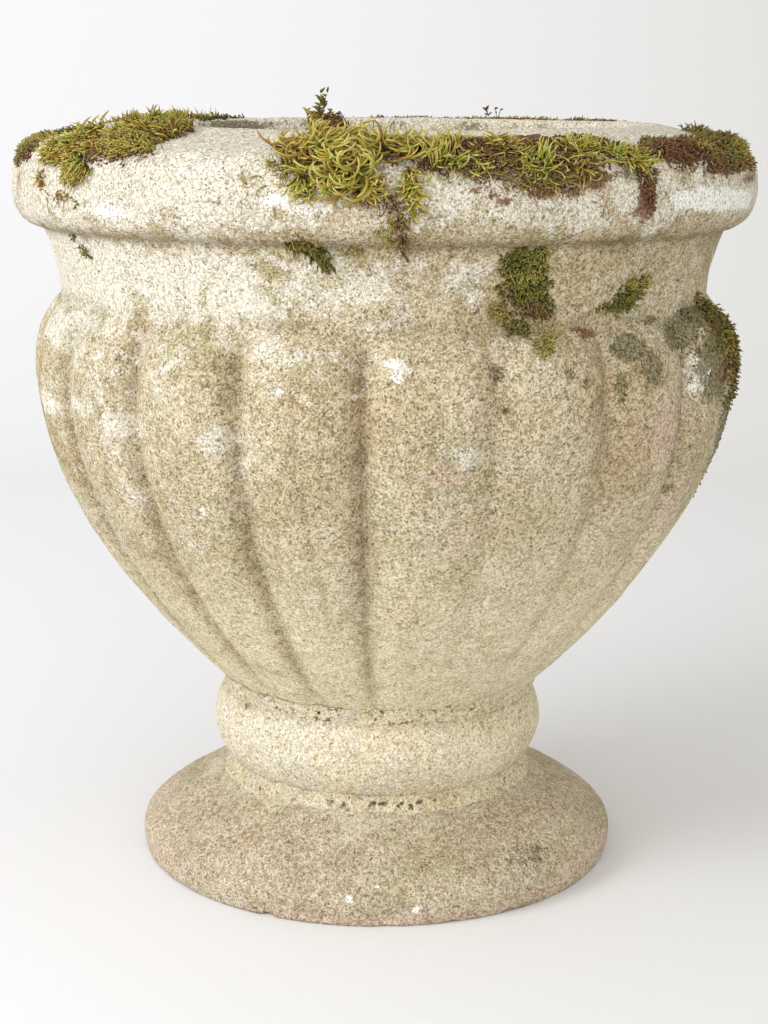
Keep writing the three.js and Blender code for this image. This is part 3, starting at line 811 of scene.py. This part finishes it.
def moss_material(name, root, stem, tip, fresh, dead):
    """Moss shoots: dark at the root, partly their own browner base and partly painted shade down in
    the clump, the shoot's own colour along it and pale at the tip. By the tone mark of each shoot,
    some are fresh and greener, and some are dead and brown."""
    material, s, shader = new_material(name)
    along = s.mark("along")
    tone = s.mark("tone")
    own = s.blend(s.ramp(tone, 0.15, 0.4), fresh, stem)
    own = s.blend(s.ramp(tone, 0.72, 0.9), own, dead)
    # Darker towards the root: partly the shoots' browner bases and partly painted shade.
    colour = s.blend(s.ramp(along, 0.0, 0.6), root, own)
    pale = s.blend(s.ramp(tone, 0.45, 1.0, 0.0, 0.75), tip, own)
    colour = s.blend(s.ramp(along, 0.6, 1.05, 0.0, 0.85), colour, pale)
    leafy = s.noise(s.place(), 1400.0, 1.0, 0.5)
    colour = s.blend(s.ramp(leafy, 0.35, 0.65, 0.0, 0.35), colour, tip, "SOFT_LIGHT")
    finish_surface(s, shader, colour, 0.8, 0.25, leafy, 0.0006, 0.8)
    return material


def mat_material():
    """The dead mat and soil under the moss: red-brown to nearly black crumbs."""
    material, s, shader = new_material("moss_mat")
    place = s.place()
    crumbs = s.noise(place, 420.0, 4.0, 0.65)
    colour = s.blend(s.ramp(crumbs, 0.3, 0.7), "#33241a", "#86654c")
    green = s.ramp(s.noise(place, 80.0, 3.0, 0.6), 0.5, 0.62)
    colour = s.blend(s.times(green, 0.7), colour, s.blend(crumbs, "#453f1c", "#8f8440"))
    finish_surface(s, shader, colour, 0.95, height=crumbs, distance=0.002)
    return material


BOWL_STONE = stone_material("bowl_stone", "#988a6c", "#ddd1b4", "#ccbfa0", "#c6ba93")
COLLAR_STONE = stone_material("collar_stone", "#b9ac8c", "#f3e9d1", "#e0d5ba", "#cbc09a", "#f6eedb")
FOOT_STONE = stone_material("foot_stone", "#9b8c75", "#dbcfb9", "#cbbda4", "#b5a787", "#e2d7b9")
MORTAR = stone_material("mortar", "#b5a684", "#efe4ca", "#ddd0b1", "#c9bd94", "#f6eedb", 0.002)
GALVANISED = metal_material()
# Each moss's first colour is its root colour, dark partly as painted shade in the clump.
CURLED_MOSS = moss_material("curled_moss", "#453610", "#9e8d3a", "#d6ca80", "#8d993d", "#8f6634")
TUFTED_MOSS = moss_material("tufted_moss", "#433317", "#8b7c38", "#cbbd7a", "#7f8a38", "#855d38")
DARK_MOSS = moss_material("dark_moss", "#302b12", "#6a632b", "#a59b5b", "#566026", "#6c4f33")
BROWN_THREADS = moss_material("brown_threads", "#35251a", "#6e4f36", "#a58360", "#75693a",
                              "#633d2a")
MOSS_MAT = mat_material()


# -------------------------------- castings

bowl_points = bowl_surface()
bowl_marks = bowl_marks_of(bowl_points)
seam = mould_seam(azimuth_of(bowl_points), bowl_points[..., 2])
bowl_points = weather(bowl_points, 1.0, 3) - ring_normals(bowl_points) * (0.5 * seam)[..., None]
bowl = casting("bowl_casting", bowl_points, BOWL_STONE, "stone", bowl_marks)
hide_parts("bowl")

collar_points = turned_surface(collar_profile(), 440, SHIFT)
collar_marks = pedestal_marks(collar_points, 0.55, 0.5, 59, 110, crust=COLLAR_CRUST)
collar_points = weather(collar_points, 0.8, 7)
collar = casting("collar_casting", collar_points, COLLAR_STONE, "stone", collar_marks)
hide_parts("collar")

foot_points = turned_surface(foot_profile(), 520, SHIFT)
foot_marks = pedestal_marks(foot_points, 0.16, 0.5, -8, 54, blush=FOOT_BLUSH, paint=FOOT_PAINT,
                            smear=1.15, green=0.2, peppered=0.45, stain=FOOT_STAIN)
chips = smooth(0.15, 0.6, cloud(foot_points, 9, 17, 2)) * (1 - smooth(4, 17, foot_points[..., 2]))
foot_points = weather(foot_points, 0.7, 11) - ring_normals(foot_points) * (2.2 * chips)[..., None]
foot_points[..., 2] = np.maximum(foot_points[..., 2], 0.0)
foot = casting("foot_casting", foot_points, FOOT_STONE, "foot_stone", foot_marks)
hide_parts("foot")

# A seed, the face's curve, the points behind it, the shift and how much the bead follows the lobes.
BEADS = {
    "lower": (23, [(101.6, 50.6), (98.3, 54.6), (96.0, 57.8), (96.6, 61.6)],
              [(93.5, 61), (88, 57.8), (88, 55.2), (93, 54.5)], SHIFT, 0.0),
    "upper": (29, [(100.2, 107.8), (102.0, 110.5), (102.8, 115.5), (104.6, 119.4)],
              [(101.5, 118.6), (97, 115), (90, 113.8), (90, 111.2), (96, 110.6)], 0.5 * SHIFT, 0.9),
}
for name, (seed, face, core, shift, lobed) in BEADS.items():
    bead_points, void = mortar_bead(seed, face, core, shift, lobed)
    bead_marks = pedestal_marks(bead_points, 0.42, 0.0, 0, 0)
    # The voids are painted dark with the growth colours, as painted shade in the holes.
    bead_marks["growth"] = np.maximum(1.3 * void, bead_marks["growth"])
    bead = casting(f"{name}_mortar", bead_points, MORTAR, "mortar", bead_marks)
    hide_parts(f"{name}_mortar_bed")
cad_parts["drain_pipe"].data.materials.clear()
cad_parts["drain_pipe"].data.materials.append(GALVANISED)


# -------------------------------- moss

RISE = np.array([0.0, 0.0, 1.0])


def unit(vectors):
    """Vectors scaled to length 1."""
    return vectors / np.maximum(np.linalg.norm(vectors, axis=-1, keepdims=True), 1e-9)


def shoots(root, up, heading, length, thick, lean, curl, coil, droop, sway, rings=9, taper=0.6):
    """Tapered shoots as (points, faces, way along each). A shoot leaves its root at the angle lean
    from the up direction towards its heading, and turns on by the angle curl as (share along)^1.4.
    Its heading swings round the up direction by the angle coil times the share, and gravity pulls
    it down by droop times the share. Its middle line is the sum of those directions. Its
    cross-section is a square ring whose radius falls off with the share to the fourth, and swells
    and shrinks at every other ring as the small leaves do."""
    count = len(root)
    share = np.linspace(0, 1, rings)[None, :, None]
    angle = lean[:, None, None] + curl[:, None, None] * share**1.4
    turn = coil[:, None, None] * share
    up, heading = unit(up)[:, None], unit(heading)[:, None]
    side = unit(np.cross(up, heading))
    ahead = np.cos(turn) * heading + np.sin(turn) * side
    fall = droop[:, None, None] * share * RISE
    direction = unit(np.cos(angle) * up + np.sin(angle) * ahead - fall)
    line = np.cumsum(direction, axis=1) - direction
    line = root[:, None] + line * (length[:, None, None] / (rings - 1))
    across = np.cos(turn) * side - np.sin(turn) * heading
    line = line + side * (sway[:, None, None] * np.sin(share * 4.5 + 9 * sway[:, None, None]))
    beside = unit(np.cross(direction, across))
    swell = 1 + 0.14 * (-1.0) ** np.arange(rings)[None, :, None]
    radius = thick[:, None, None] * (1 - taper * share**4) * swell
    radius[:, 0] *= 0.8
    radius[:, -1] *= 0.55
    corner = np.arange(4) * math.pi / 2
    ring = (np.cos(corner)[:, None] * across[:, :, None]
            + np.sin(corner)[:, None] * beside[:, :, None])
    points = line[:, :, None] + ring * radius[:, :, None]
    first = (np.arange(count) * rings * 4)[:, None, None]
    row = (np.arange(rings - 1) * 4)[None, :, None]
    here = np.arange(4)[None, None, :]
    following = (here + 1) % 4
    walls = np.stack([first + row + here, first + row + following, first + row + 4 + following,
                      first + row + 4 + here], axis=-1).reshape(-1, 4)
    ends = (np.arange(count) * rings * 4)[:, None]
    caps = np.concatenate([ends + np.array([3, 2, 1, 0]), ends + (rings - 1) * 4 + np.arange(4)])
    along = np.broadcast_to(share[..., None], points.shape[:3] + (1,))[..., 0]
    return points.reshape(-1, 3), np.concatenate([walls, caps]), along.reshape(-1)


# Ways of growing. Lengths and radii are millimetres and angles are radians: the least and the most
# length, thickness, lean, curl and coil, then droop and how many rings a shoot has.
HABITS = {
    "hooks": (12, 23, 0.6, 0.95, 0.7, 1.35, -0.5, 0.5, 2.2, 4.6, 0.3, 11),
    "swirls": (20, 31, 0.75, 1.05, 0.9, 1.4, -0.4, 0.3, 3.0, 5.0, 0.2, 14),
    "combs": (7, 13, 0.45, 0.75, 0.6, 1.3, 0.0, 1.0, 0.6, 3.0, 0.25, 8),
    "fringe": (5, 10, 0.34, 0.55, 0.5, 1.25, -0.3, 1.0, 0.4, 2.4, 0.3, 6),
    "blades": (8, 14, 0.4, 0.62, 0.7, 1.2, -0.5, 0.6, 0.0, 1.0, 0.1, 6),
    "tufts": (3.5, 7.5, 0.35, 0.6, 0.0, 0.9, 0.3, 1.6, 0.0, 1.8, 0.15, 5),
    "spikes": (5, 10, 0.2, 0.32, 0.0, 0.4, 0.0, 0.8, 0.0, 1.0, 0.0, 5),
    "threads": (5, 13, 0.2, 0.36, 0.6, 1.4, -0.4, 0.8, 0.5, 3.6, 0.3, 6),
    "leaves": (2.0, 4.4, 0.4, 0.75, 0.1, 1.1, 0.0, 1.0, 0.0, 1.0, 0.1, 4),
    "crumbs": (1.2, 2.8, 0.4, 0.8, 0.0, 1.3, 0.0, 1.0, 0.0, 0.5, 0.0, 3),
}


def grow(seed, habit, azimuth, way, wide, tall, count, lift=0.0, toward=0.0, spread=60.0,
         dullest=0.0, brightest=1.0, flat=0.0):
    """Shoots of one habit, rooted at random in an oval of the bowl, denser in its middle. Wide is
    half its width in degrees and tall half its height in millimetres. Lift is how high the shoots'
    roots stand in the middle, more or less by a 9 mm noise. They head toward an angle from
    straight down, counted to the right, give or take the spread. Their tone runs from the dullest
    to the brightest, partly at random and partly by a 12 mm noise. Flat is how far the shoots
    rooted near the lip's crest keep off the crest itself, lie down and stay short, so that the
    mouth behind them shows."""
    rng = np.random.default_rng(seed)
    count = int(count)
    length, thick, lean, curl, coil = (HABITS[habit][i:i + 2] for i in range(0, 10, 2))
    droop, rings = HABITS[habit][10:]
    reach = rng.random(count) ** 0.62
    turn = rng.random(count) * 2 * math.pi
    ragged = 1 + 0.22 * np.sin(3 * turn + seed) + 0.15 * np.sin(7 * turn + 2 * seed)
    root_way = way + tall * reach * ragged * np.sin(turn)
    root_way = root_way + flat * np.maximum(0, 22 - 2 * root_way)
    near = flat * (1 - smooth(14, 54, root_way))
    place, out, down, side = on_bowl(azimuth + wide * reach * ragged * np.cos(turn), root_way)
    lumps = 1 + 0.75 * cloud(place, 9, seed)
    rise = lift * (1 - 0.95 * near) * (1 - reach**2) * rng.uniform(0.4, 1.05, count) * lumps - 0.8
    place = place + out * rise[:, None]
    heading = np.radians(toward + rng.normal(0, spread, count))[:, None]
    heading = down * np.cos(heading) + side * np.sin(heading)
    length = rng.uniform(*length, count) * (0.6 + 0.4 * lumps) * (1 - 0.5 * near)
    lean = rng.uniform(*lean, count)
    points, faces, along = shoots(
        place, out, heading, length, rng.uniform(*thick, count), lean + (1.5 - lean) * near,
        rng.uniform(*curl, count) * (1 - near),
        rng.uniform(*coil, count) * rng.choice([-1, 1], count),
        droop * rng.uniform(0.4, 1.6, count), rng.normal(0, 0.6, count), rings)
    shade = np.clip(0.7 * rng.uniform(0, 1, count) + 0.15 + 0.8 * cloud(place, 12, seed + 2), 0, 1)
    each = np.repeat(dullest + (brightest - dullest) * shade, len(points) // count)
    return points, faces, {"along": along, "tone": each}


def seedlings(seed, azimuth, way, count, tall, apart, leaves):
    """Bare stems that stand up from the rim, with small leaves rooted on the upper half of each
    stem's middle line."""
    rng = np.random.default_rng(seed)
    count, leaves = int(count), int(leaves)
    place, out, down, side = on_bowl(azimuth + rng.normal(0, apart, count),
                                     way + rng.normal(0, 1.5, count))
    lean = rng.normal(0, 1, count)[:, None]
    one = np.ones(count)
    stems = shoots(place - 0.8 * out, RISE + 0 * out, side * lean + 0.3 * down,
                   tall * rng.uniform(0.7, 1.0, count), 0.24 * one, 0.1 * one,
                   rng.uniform(0.1, 0.5, count), 0 * one, 0 * one, 0.4 * one, 10, 0.4)
    line = stems[0].reshape(count, 10, 4, 3).mean(axis=2)
    stem, ring = rng.integers(0, count, leaves), rng.integers(4, 10, leaves)
    turn = rng.random(leaves) * 2 * math.pi
    heading = np.stack([np.cos(turn), np.sin(turn), 0 * turn], axis=-1)
    one = np.ones(leaves)
    blades = shoots(line[stem, ring], RISE + 0 * heading, heading,
                    rng.uniform(1.8, 4.2, leaves), 0.6 * one, rng.uniform(0.5, 1.3, leaves),
                    0.5 * one, 0 * one, 0 * one, 0 * one, 5, 0.7)
    points = np.concatenate([stems[0], blades[0]])
    faces = np.concatenate([stems[1], blades[1] + len(stems[0])])
    along = np.concatenate([0.6 * stems[2], 0.3 + 0.6 * blades[2]])
    return points, faces, {"along": along, "tone": np.full(len(points), 0.75)}


def mat(seed, azimuth, way, wide, tall, height, cells=32):
    """A low mat of soil and dead moss: a square grid pulled to a disc, laid over an oval of the
    bowl and domed by (1 - distance^2.8), with lumps and crumbs of noise on top, and a flat sheet
    under it."""
    grid = np.linspace(-1, 1, cells)
    u, v = np.meshgrid(grid, grid, indexing="ij")
    x, y = u * np.sqrt(1 - v * v / 2), v * np.sqrt(1 - u * u / 2)
    turn = np.arctan2(y, x)
    ragged = (0.9 + 0.1 * np.sin(3 * turn + seed) + 0.08 * np.sin(7 * turn + 2 * seed)
              + 0.08 * np.sin(17 * turn + 3 * seed))
    dome = np.clip(1 - (x * x + y * y) ** 1.4, 0, 1)
    flat = on_bowl(azimuth + wide * x * ragged, way + tall * y * ragged)
    lumps = 0.7 + 0.35 * cloud(flat[0], 9, seed) + 0.4 * cloud(flat[0], 3.2, seed + 3, 2)
    top = flat[0] + flat[1] * (height * dome * lumps - 0.9)[..., None]
    bottom = flat[0] + flat[1] * (-2.4 + 0 * dome)[..., None]
    points = np.concatenate([top.reshape(-1, 3), bottom.reshape(-1, 3)])
    sheet = sheet_faces(cells, cells)[:, [0, 3, 2, 1]]
    step = np.arange(cells - 1)
    edge = np.concatenate([step, step * cells + cells - 1, cells * cells - 1 - step,
                           (cells - 1 - step) * cells])
    after = np.roll(edge, -1)
    under = cells * cells
    wall = np.stack([edge, after, after + under, edge + under], axis=-1)
    faces = np.concatenate([sheet, sheet[:, ::-1] + under, wall])
    return points, faces, {"along": np.full(len(points), 0.3), "tone": np.full(len(points), 0.5)}


MOSSES = {"soil": MOSS_MAT, "curled": CURLED_MOSS, "tufted": TUFTED_MOSS, "dark": DARK_MOSS,
          "brown": BROWN_THREADS}


def moss_piece(name, slot, node, table):
    """One moss piece, which stands for its CAD cushion. Each row of the table is a patch: its
    material, then "mat", "seedlings" or a habit, then the numbers that mat(), seedlings() or
    grow() takes after those, in their order."""
    parts, materials, start = [], [], 0
    for number, row in enumerate(table.strip().splitlines()):
        moss, kind, *rest = row.split()
        numbers = [float(word) for word in rest]
        seed = 100 + 7 * number + sum(map(ord, name))
        if kind == "mat":
            points, faces, marks = mat(seed, *numbers)
        elif kind == "seedlings":
            points, faces, marks = seedlings(seed, *numbers)
        else:
            points, faces, marks = grow(seed, kind, *numbers)
        if MOSSES[moss] not in materials:
            materials.append(MOSSES[moss])
        which = np.full(len(faces), materials.index(MOSSES[moss]), dtype=np.int32)
        parts.append((points, faces + start, marks["along"], marks["tone"], which))
        start += len(points)
    points, faces, along, tone, which = (np.concatenate(part) for part in zip(*parts))
    piece = make_mesh(name, points, faces, materials[0], slot, {"along": along, "tone": tone})
    for material in materials[1:]:
        piece.data.materials.append(material)
    piece.data.polygons.foreach_set("material_index", which)
    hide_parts(node)


# A mat's row: azimuth, way down from the lip, half width in degrees, half height, thickness. A
# habit's row: the same four, count, lift, toward, spread, dullest, brightest and flat, and what is
# left out at the end stays at its default. A seedlings' row: azimuth, way, count, height, apart,
# leaves.
# In the left clump, the brown threads at -41 degrees and brown crumbs at -43 degrees, low under the
# curls, are dark shoots put as painted shade under the clump.
moss_piece("left_clump", "moss_green", "moss_rim_left", """
    soil mat -54.5 58 4.5 9 4
    soil mat -47.5 42 6.5 20 7
    soil mat -41.5 34 6 18 7
    curled fringe -55 56 3.6 8 300 4 -25
    curled fringe -49.5 46 5 14 460 7 -35 50
    curled combs -48 44 6 15 130 7 -45 70
    curled combs -42.5 28 6 16 130 7 -60 70
    curled fringe -43.5 30 6 17 520 8 -50
    tufted fringe -42 44 6 11 260 5 -20 60 0 0.7
    curled tufts -43.5 12 6 9 380 8 160 80
    tufted tufts -39 18 4 12 150 5 30 80
    curled spikes -40 8 3 6 26 8 180 70
    curled fringe -47.5 66 2.4 7 180 3 -10
    tufted tufts -48 68 2.6 7 130 3 0 60 0.3
    brown threads -41 56 6 3.5 40 2 0 70
    curled tufts -40.5 52 6 6 260 3 -10 70 0.1 0.8
    brown crumbs -43 60 8 4 50 0.5
    curled threads -58 72 1.2 5 18 0 10 40
    tufted leaves -57 76 1 4 16 0 10 40
    curled threads -53.5 84 3.6 1.6 14 0 90 20
    tufted leaves -51 82 2.2 2.2 26 0 90
    dark leaves -47.6 85 0.5 2 8
""")

moss_piece("far_left_fringe", "moss_brown", "moss_rim_far_left", """
    soil mat -73 56 6 8 1.5
    soil mat -92 50 12 9 1.5
    brown leaves -68 60 4 8 90 0.5
    dark leaves -71 57 5 9 200 1
    tufted leaves -78 52 8 8 200 1 0 60 0.2
    dark leaves -92 46 14 9 460 1.5
    brown crumbs -84 50 14 9 130 0.5
    dark tufts -103 40 6 9 110 1.5
    tufted leaves -78 46 12 10 90 1
""")

moss_piece("back_left_fringe", "moss_green", "moss_rim_back_left", """
    soil mat -114 26 8 14 3
    soil mat -128 18 9 13 3
    tufted tufts -116 18 11 14 380 4 0 90 0.3
    curled tufts -128 10 9 10 300 4 0 90 0.3
    curled spikes -130 6 8 6 22 3 0 90
    dark leaves -122 22 15 14 420 3
    dark leaves -136 1 7 6 160 2
    brown crumbs -124 24 16 15 300 1
""")

moss_piece("centre_clump", "moss_green", "moss_rim_centre", """
    soil mat -12 34 3.4 22 4
    soil mat -6 42 5.2 24 7
    soil mat 1.5 38 4.6 22 5
    curled hooks -12.2 36 1.8 20 150 4 -10 50 0 1 1
    curled hooks -9 38 3.4 23 250 6 0 60 0 1 1
    curled hooks -4 38 3.6 22 210 6 10 60 0 1 1
    curled swirls -6 54 2.6 10 60 8 -20
    curled swirls -4.5 62 2 7 44 7 60 70
    curled combs -6.5 66 2.6 9 130 7 10
    curled combs -2.5 73 1.8 5 70 5 60 50
    curled hooks 2.8 38 2.8 22 120 5 5 50 0 1 1
    tufted combs 1.5 26 5 20 190 6 0 60 0 1 1
    tufted tufts -5 13 10 9 420 2.5 0 60 0.2 1 1
    brown threads 0.5 26 6 24 360 8 0 70 0 1 1
    brown tufts 1 34 5.5 24 260 6 0 90 0 1 1
    brown threads -9 30 5 22 160 9 0 90 0 1 1
    curled combs 3.4 70 1.2 9 60 2 0 50 0 0.6
    curled threads -14 60 1.4 8 34
    curled threads -16.5 70 1.6 3 8 0 -80 20
    curled combs -10.5 70 1.6 7 46 2 -30
    tufted tufts -12.5 60 2.2 8 70 1 0 80
    curled tufts -12.2 3 1.4 4 80 4 180 60 0 0.6
    brown tufts -8.8 1 1.4 3.5 130 4.5 180 90
    dark seedlings -11.8 2 4 22 0.35 60
    curled seedlings -12.6 2 6 12 0.8 70
    brown seedlings -9.4 1 7 10 0.8 60
    brown spikes -6 1 8 3 16 2 180
""")

moss_piece("trailing_strands", "moss_brown", "moss_rim_trail", """
    brown threads -3 74 1.6 3 34 0 55 25 0.2 0.8
    brown threads 0.2 79 1.4 3 34 0 60 25 0.2 0.8
    brown threads 2 88 0.6 7 34 0 6 16 0.2 0.8
    brown threads 2.5 100 0.4 8 22 0 0 12 0.2 0.8
    brown threads 2.4 112 0.3 5 8 0 0 12 0.2 0.8
    curled threads 3.6 80 1.4 9 50 0 10 50 0.2 0.8
    curled threads 0.4 94 1.6 9 26 0 0 50 0 0.5
    curled leaves 1.6 92 1.6 10 40 0 0 60 0 0.5
""")

moss_piece("right_mat", "moss_brown", "moss_rim_right", """
    soil mat 10 36 5 28 4.5
    soil mat 17 38 6 28 4.5
    soil mat 25 32 6 24 4
    soil mat 33 36 6 20 3
    curled blades 7 60 1.8 6 40 4 175 18 0 0.55
    curled blades 8.5 44 3 12 50 4 170 30 0 0.7 1
    curled hooks 6.5 34 3 18 80 4 0 60 0 1 1
    curled combs 12.5 34 4.5 16 110 4 120 70 0 1 1
    tufted tufts 10 26 5 20 240 4 0 90 0 1 1
    brown threads 10 20 5 16 220 5 0 90 0 1 1
    tufted tufts 17 36 4 16 200 6 0 90 0 1 1
    curled combs 16.5 46 3.4 10 90 5 90 80 0 0.6 1
    curled blades 21.5 60 1.8 5 34 4 160 30 0 0.5
    curled threads 19 60 5 6 90 3 60 80 0 0.6
    curled combs 19.5 64 2.4 3 26 2 90 60 0 0.7
    brown tufts 13 46 8 20 380 5 0 90 0 1 1
    brown threads 23.5 26 6 18 240 5 40 80 0 1 1
    brown tufts 23.5 32 7 22 380 5 0 90 0 1 1
    brown crumbs 15 60 10 8 280 2
    brown crumbs 25 58 7 9 160 1.5
    curled blades 27.5 50 2.2 6 40 3 150 40 0 0.5
    curled combs 29.5 48 3 7 50 3 150 50 0 0.6
    dark tufts 24 22 7 16 160 3 0 90 0 1 1
    tufted tufts 29 42 3 10 120 4 0 80 0 1 1
    curled tufts 35.5 56 3.4 6 170 3 0 80 0 0.8
    curled combs 37 60 2.4 4 30 2 0 60 0 0.7
    brown crumbs 32 54 6 9 150 1.5
    dark leaves 34 34 4.5 15 260 2
    brown leaves 32 32 6 16 260 2
    brown tufts 13 60 8 7 260 2.5
    brown tufts 24 62 6 8 200 2
    curled combs 11 60 5 6 56 2.5 60 70 0 0.8
    curled combs 25 62 5 6 50 2.5 60 80 0 0.8
    tufted threads 20 70 7 4 60 1 60 80
    brown crumbs 21 72 8 4 150 0.5
    brown leaves 38.2 72 1.7 10 150 1
    brown crumbs 38.4 80 1.4 10 90 0.5
""")

moss_piece("far_right_fringe", "moss_dark", "moss_rim_far_right", """
    soil mat 47 52 6.5 11 3.5
    soil mat 60 48 8 15 4
    soil mat 76 40 9 15 3
    brown leaves 45 52 6 12 360 3
    brown tufts 49 50 7 11 160 3
    brown crumbs 50 54 9 12 300 3
    dark leaves 48 42 7 12 300 2
    tufted leaves 56 48 6 13 220 3
    dark leaves 62 46 9 15 460 4
    brown leaves 58 60 8 8 300 2
    dark leaves 62 60 8 8 260 2
    brown crumbs 54 66 8 5 130 0.5
    tufted tufts 67 55 5 10 190 3 0 90 0 0.8
    dark tufts 66 46 8 13 200 4 0 90
    dark leaves 77 38 10 17 460 3
    brown leaves 68 64 7 5 130 1
    dark tufts 84 26 7 9 90 2 0 90
    brown crumbs 80 30 12 16 200 1
""")

moss_piece("back_fringe", "moss_brown", "moss_rim_back", """
    soil mat 130 13 12 8 1.6
    soil mat 154 12 13 8 1.6
    soil mat 178 11 10 7 1.2
    tufted leaves 132 12 15 9 300 1 0 60 0.3
    brown leaves 124 8 9 8 160 1
    tufted leaves 152 8 12 7 260 1 0 60 0.3
    brown crumbs 150 8 30 8 460 1
    dark crumbs 172 4 20 4 200 0.5
    brown leaves 176 9 14 7 220 1
    curled leaves 148 4 12 4 70 1 0 60 0.3
    brown seedlings 154 3 3 11 1.6 14
""")

moss_piece("rim_sprig", "moss_dark", "moss_rim_sprig", """
    dark tufts -11.5 106 2 5 60 1 40
    dark tufts -9.5 118 1.4 7 70 1 40 40
    dark leaves -8.3 125 1.1 4 40 0 60
    curled threads -10 103 4 4 18 0 30 80
    curled threads -4 112 1.2 9 14 0 0 40
""")

moss_piece("neck_left_sprig", "moss_dark", "moss_neck_left_sprig", """
    dark leaves -57.5 116 1.4 3.5 30 0 20
    dark threads -56 121 1.6 4 14 0 45 25
    dark leaves -54.2 127 1.6 2 16 0 60
""")

moss_piece("neck_patch", "moss_dark", "moss_neck_patch", """
    soil mat 21.6 136 3.6 17 4
    dark leaves 20.6 126 3.2 11 260 4 0 90 0 0.6
    tufted leaves 21.5 130 3.8 14 300 4 0 90 0 0.7
    dark leaves 22.5 140 4.2 12 260 3 0 60 0 0.8
    dark leaves 20.2 116 1 5 60 1
    brown leaves 24 150 2.4 7 130 2
    dark leaves 24.6 148 2.2 8 90 2
    tufted leaves 17.8 152 2.2 6 70 1
    dark leaves 20.5 160 2.2 6 60 1
""")

moss_piece("neck_tuft", "moss_dark", "moss_neck_tuft", """
    soil mat 42.5 149 3 6 2.4
    dark leaves 42 148 3.4 7 150 3 0 90 0 0.7
    tufted tufts 45 141 1.2 7 44 2 160 30 0 0.6
    tufted tufts 42 142 0.9 5 30 2 170 30 0 0.6
    dark leaves 38 152 2.6 4 46 1
""")

moss_piece("shoulder_tuft", "moss_dark", "moss_shoulder_tuft", """
    tufted tufts 24 170 2 4 26 0 60 60 0 0.5
    curled threads 25.5 168 1.6 3 16 0 80 50 0 0.5
    tufted leaves 24.2 176 1.8 5 50 0.5 0 60 0 0.6
    dark leaves 22.5 164 0.8 5 20 0.5
""")

moss_piece("right_shoulder_growth", "moss_dark", "moss_shoulder_right", """
    soil mat 76 180 8 22 2.4
    soil mat 84 208 7 28 2.4
    dark leaves 72 176 9 20 420 2.5
    dark leaves 82 200 9 30 460 2.5
    tufted leaves 76 190 8 24 200 2.5
    brown leaves 74 205 6 14 120 1.5
    dark crumbs 62 180 10 24 260 0.3
    brown crumbs 66 200 9 34 220 0.3
    dark crumbs 84 260 6 40 160 0.3
""")


# -------------------------------- stage and light

bpy.context.scene.view_settings.view_transform = "Standard"


def sweep_material():
    """Pale woven linen that can be seen through from behind, so that the object shows from the
    back. It darkens to the right as painted shade, where the light falls off."""
    material, s, shader = new_material("linen")
    place = s.place()
    weave = s.noise(place, 900.0, 1.0, 0.5)
    across = s.add("ShaderNodeSeparateXYZ", {0: place}).outputs[0]
    pale = s.blend(weave, "#e3e3e6", "#ebebee")
    # Painted shade: the linen darkens towards #d3d3ce to the right.
    s.put(shader.inputs["Base Color"], s.blend(s.ramp(across, -0.4, 1.6), pale, "#d3d3ce"))
    behind = s.add("ShaderNodeNewGeometry").outputs["Backfacing"]
    s.put(shader.inputs["Alpha"], s.minus(1.0, behind))
    shader.inputs["Roughness"].default_value = 1.0
    shader.inputs["Specular IOR Level"].default_value = 0.0
    return material


def sweep_points():
    """A floor that curves up into a back wall: a profile of floor, quarter circle and wall, carried
    along X."""
    bend = [(1200 + 900 * math.sin(a), 900 - 900 * math.cos(a))
            for a in np.linspace(0, math.pi / 2, 24)]
    profile = np.array([(-2600, 0), *bend, (2100, 4200)], dtype=float)
    across = np.linspace(-4200, 4200, 9)
    y = np.broadcast_to(profile[:, :1], (len(profile), 9))
    z = np.broadcast_to(profile[:, 1:], (len(profile), 9))
    x = np.broadcast_to(across, (len(profile), 9))
    return np.stack([x, y, z - 0.4], axis=-1)


stage_points = sweep_points()
stage_faces = sheet_faces(*stage_points.shape[:2])
backdrop = make_mesh("backdrop", stage_points.reshape(-1, 3), stage_faces, sweep_material())
backdrop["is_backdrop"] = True


def area_light(name, power, size, place, aim, colour=(1.0, 1.0, 1.0)):
    """A square soft light at a place, facing an aim."""
    data = bpy.data.lights.new(name, "AREA")
    data.energy = power
    data.size = size
    data.color = colour
    light = bpy.data.objects.new(name, data)
    direction = np.array(aim, dtype=float) - np.array(place, dtype=float)
    yaw = math.atan2(direction[0], -direction[1])
    tilt = math.atan2(math.hypot(direction[0], direction[1]), -direction[2])
    turned = Matrix.Rotation(yaw, 4, "Z") @ Matrix.Rotation(-tilt, 4, "X")
    light.matrix_world = Matrix.Translation(place) @ turned
    bpy.context.scene.collection.objects.link(light)
    return light


world = bpy.data.worlds.new("studio")
bpy.context.scene.world = world
world.use_nodes = True
world.node_tree.nodes["Background"].inputs["Color"].default_value = (1.0, 0.985, 0.955, 1.0)
world.node_tree.nodes["Background"].inputs["Strength"].default_value = 0.92
area_light("window", 45.0, 1.3, (-2.1, -1.2, 1.45), (0, 0, 0.25), (0.96, 0.98, 1.0))
area_light("low_fill", 20.0, 1.6, (0.1, -2.3, 0.2), (0, 0, 0.2), (1.0, 0.985, 0.95))

low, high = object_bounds()
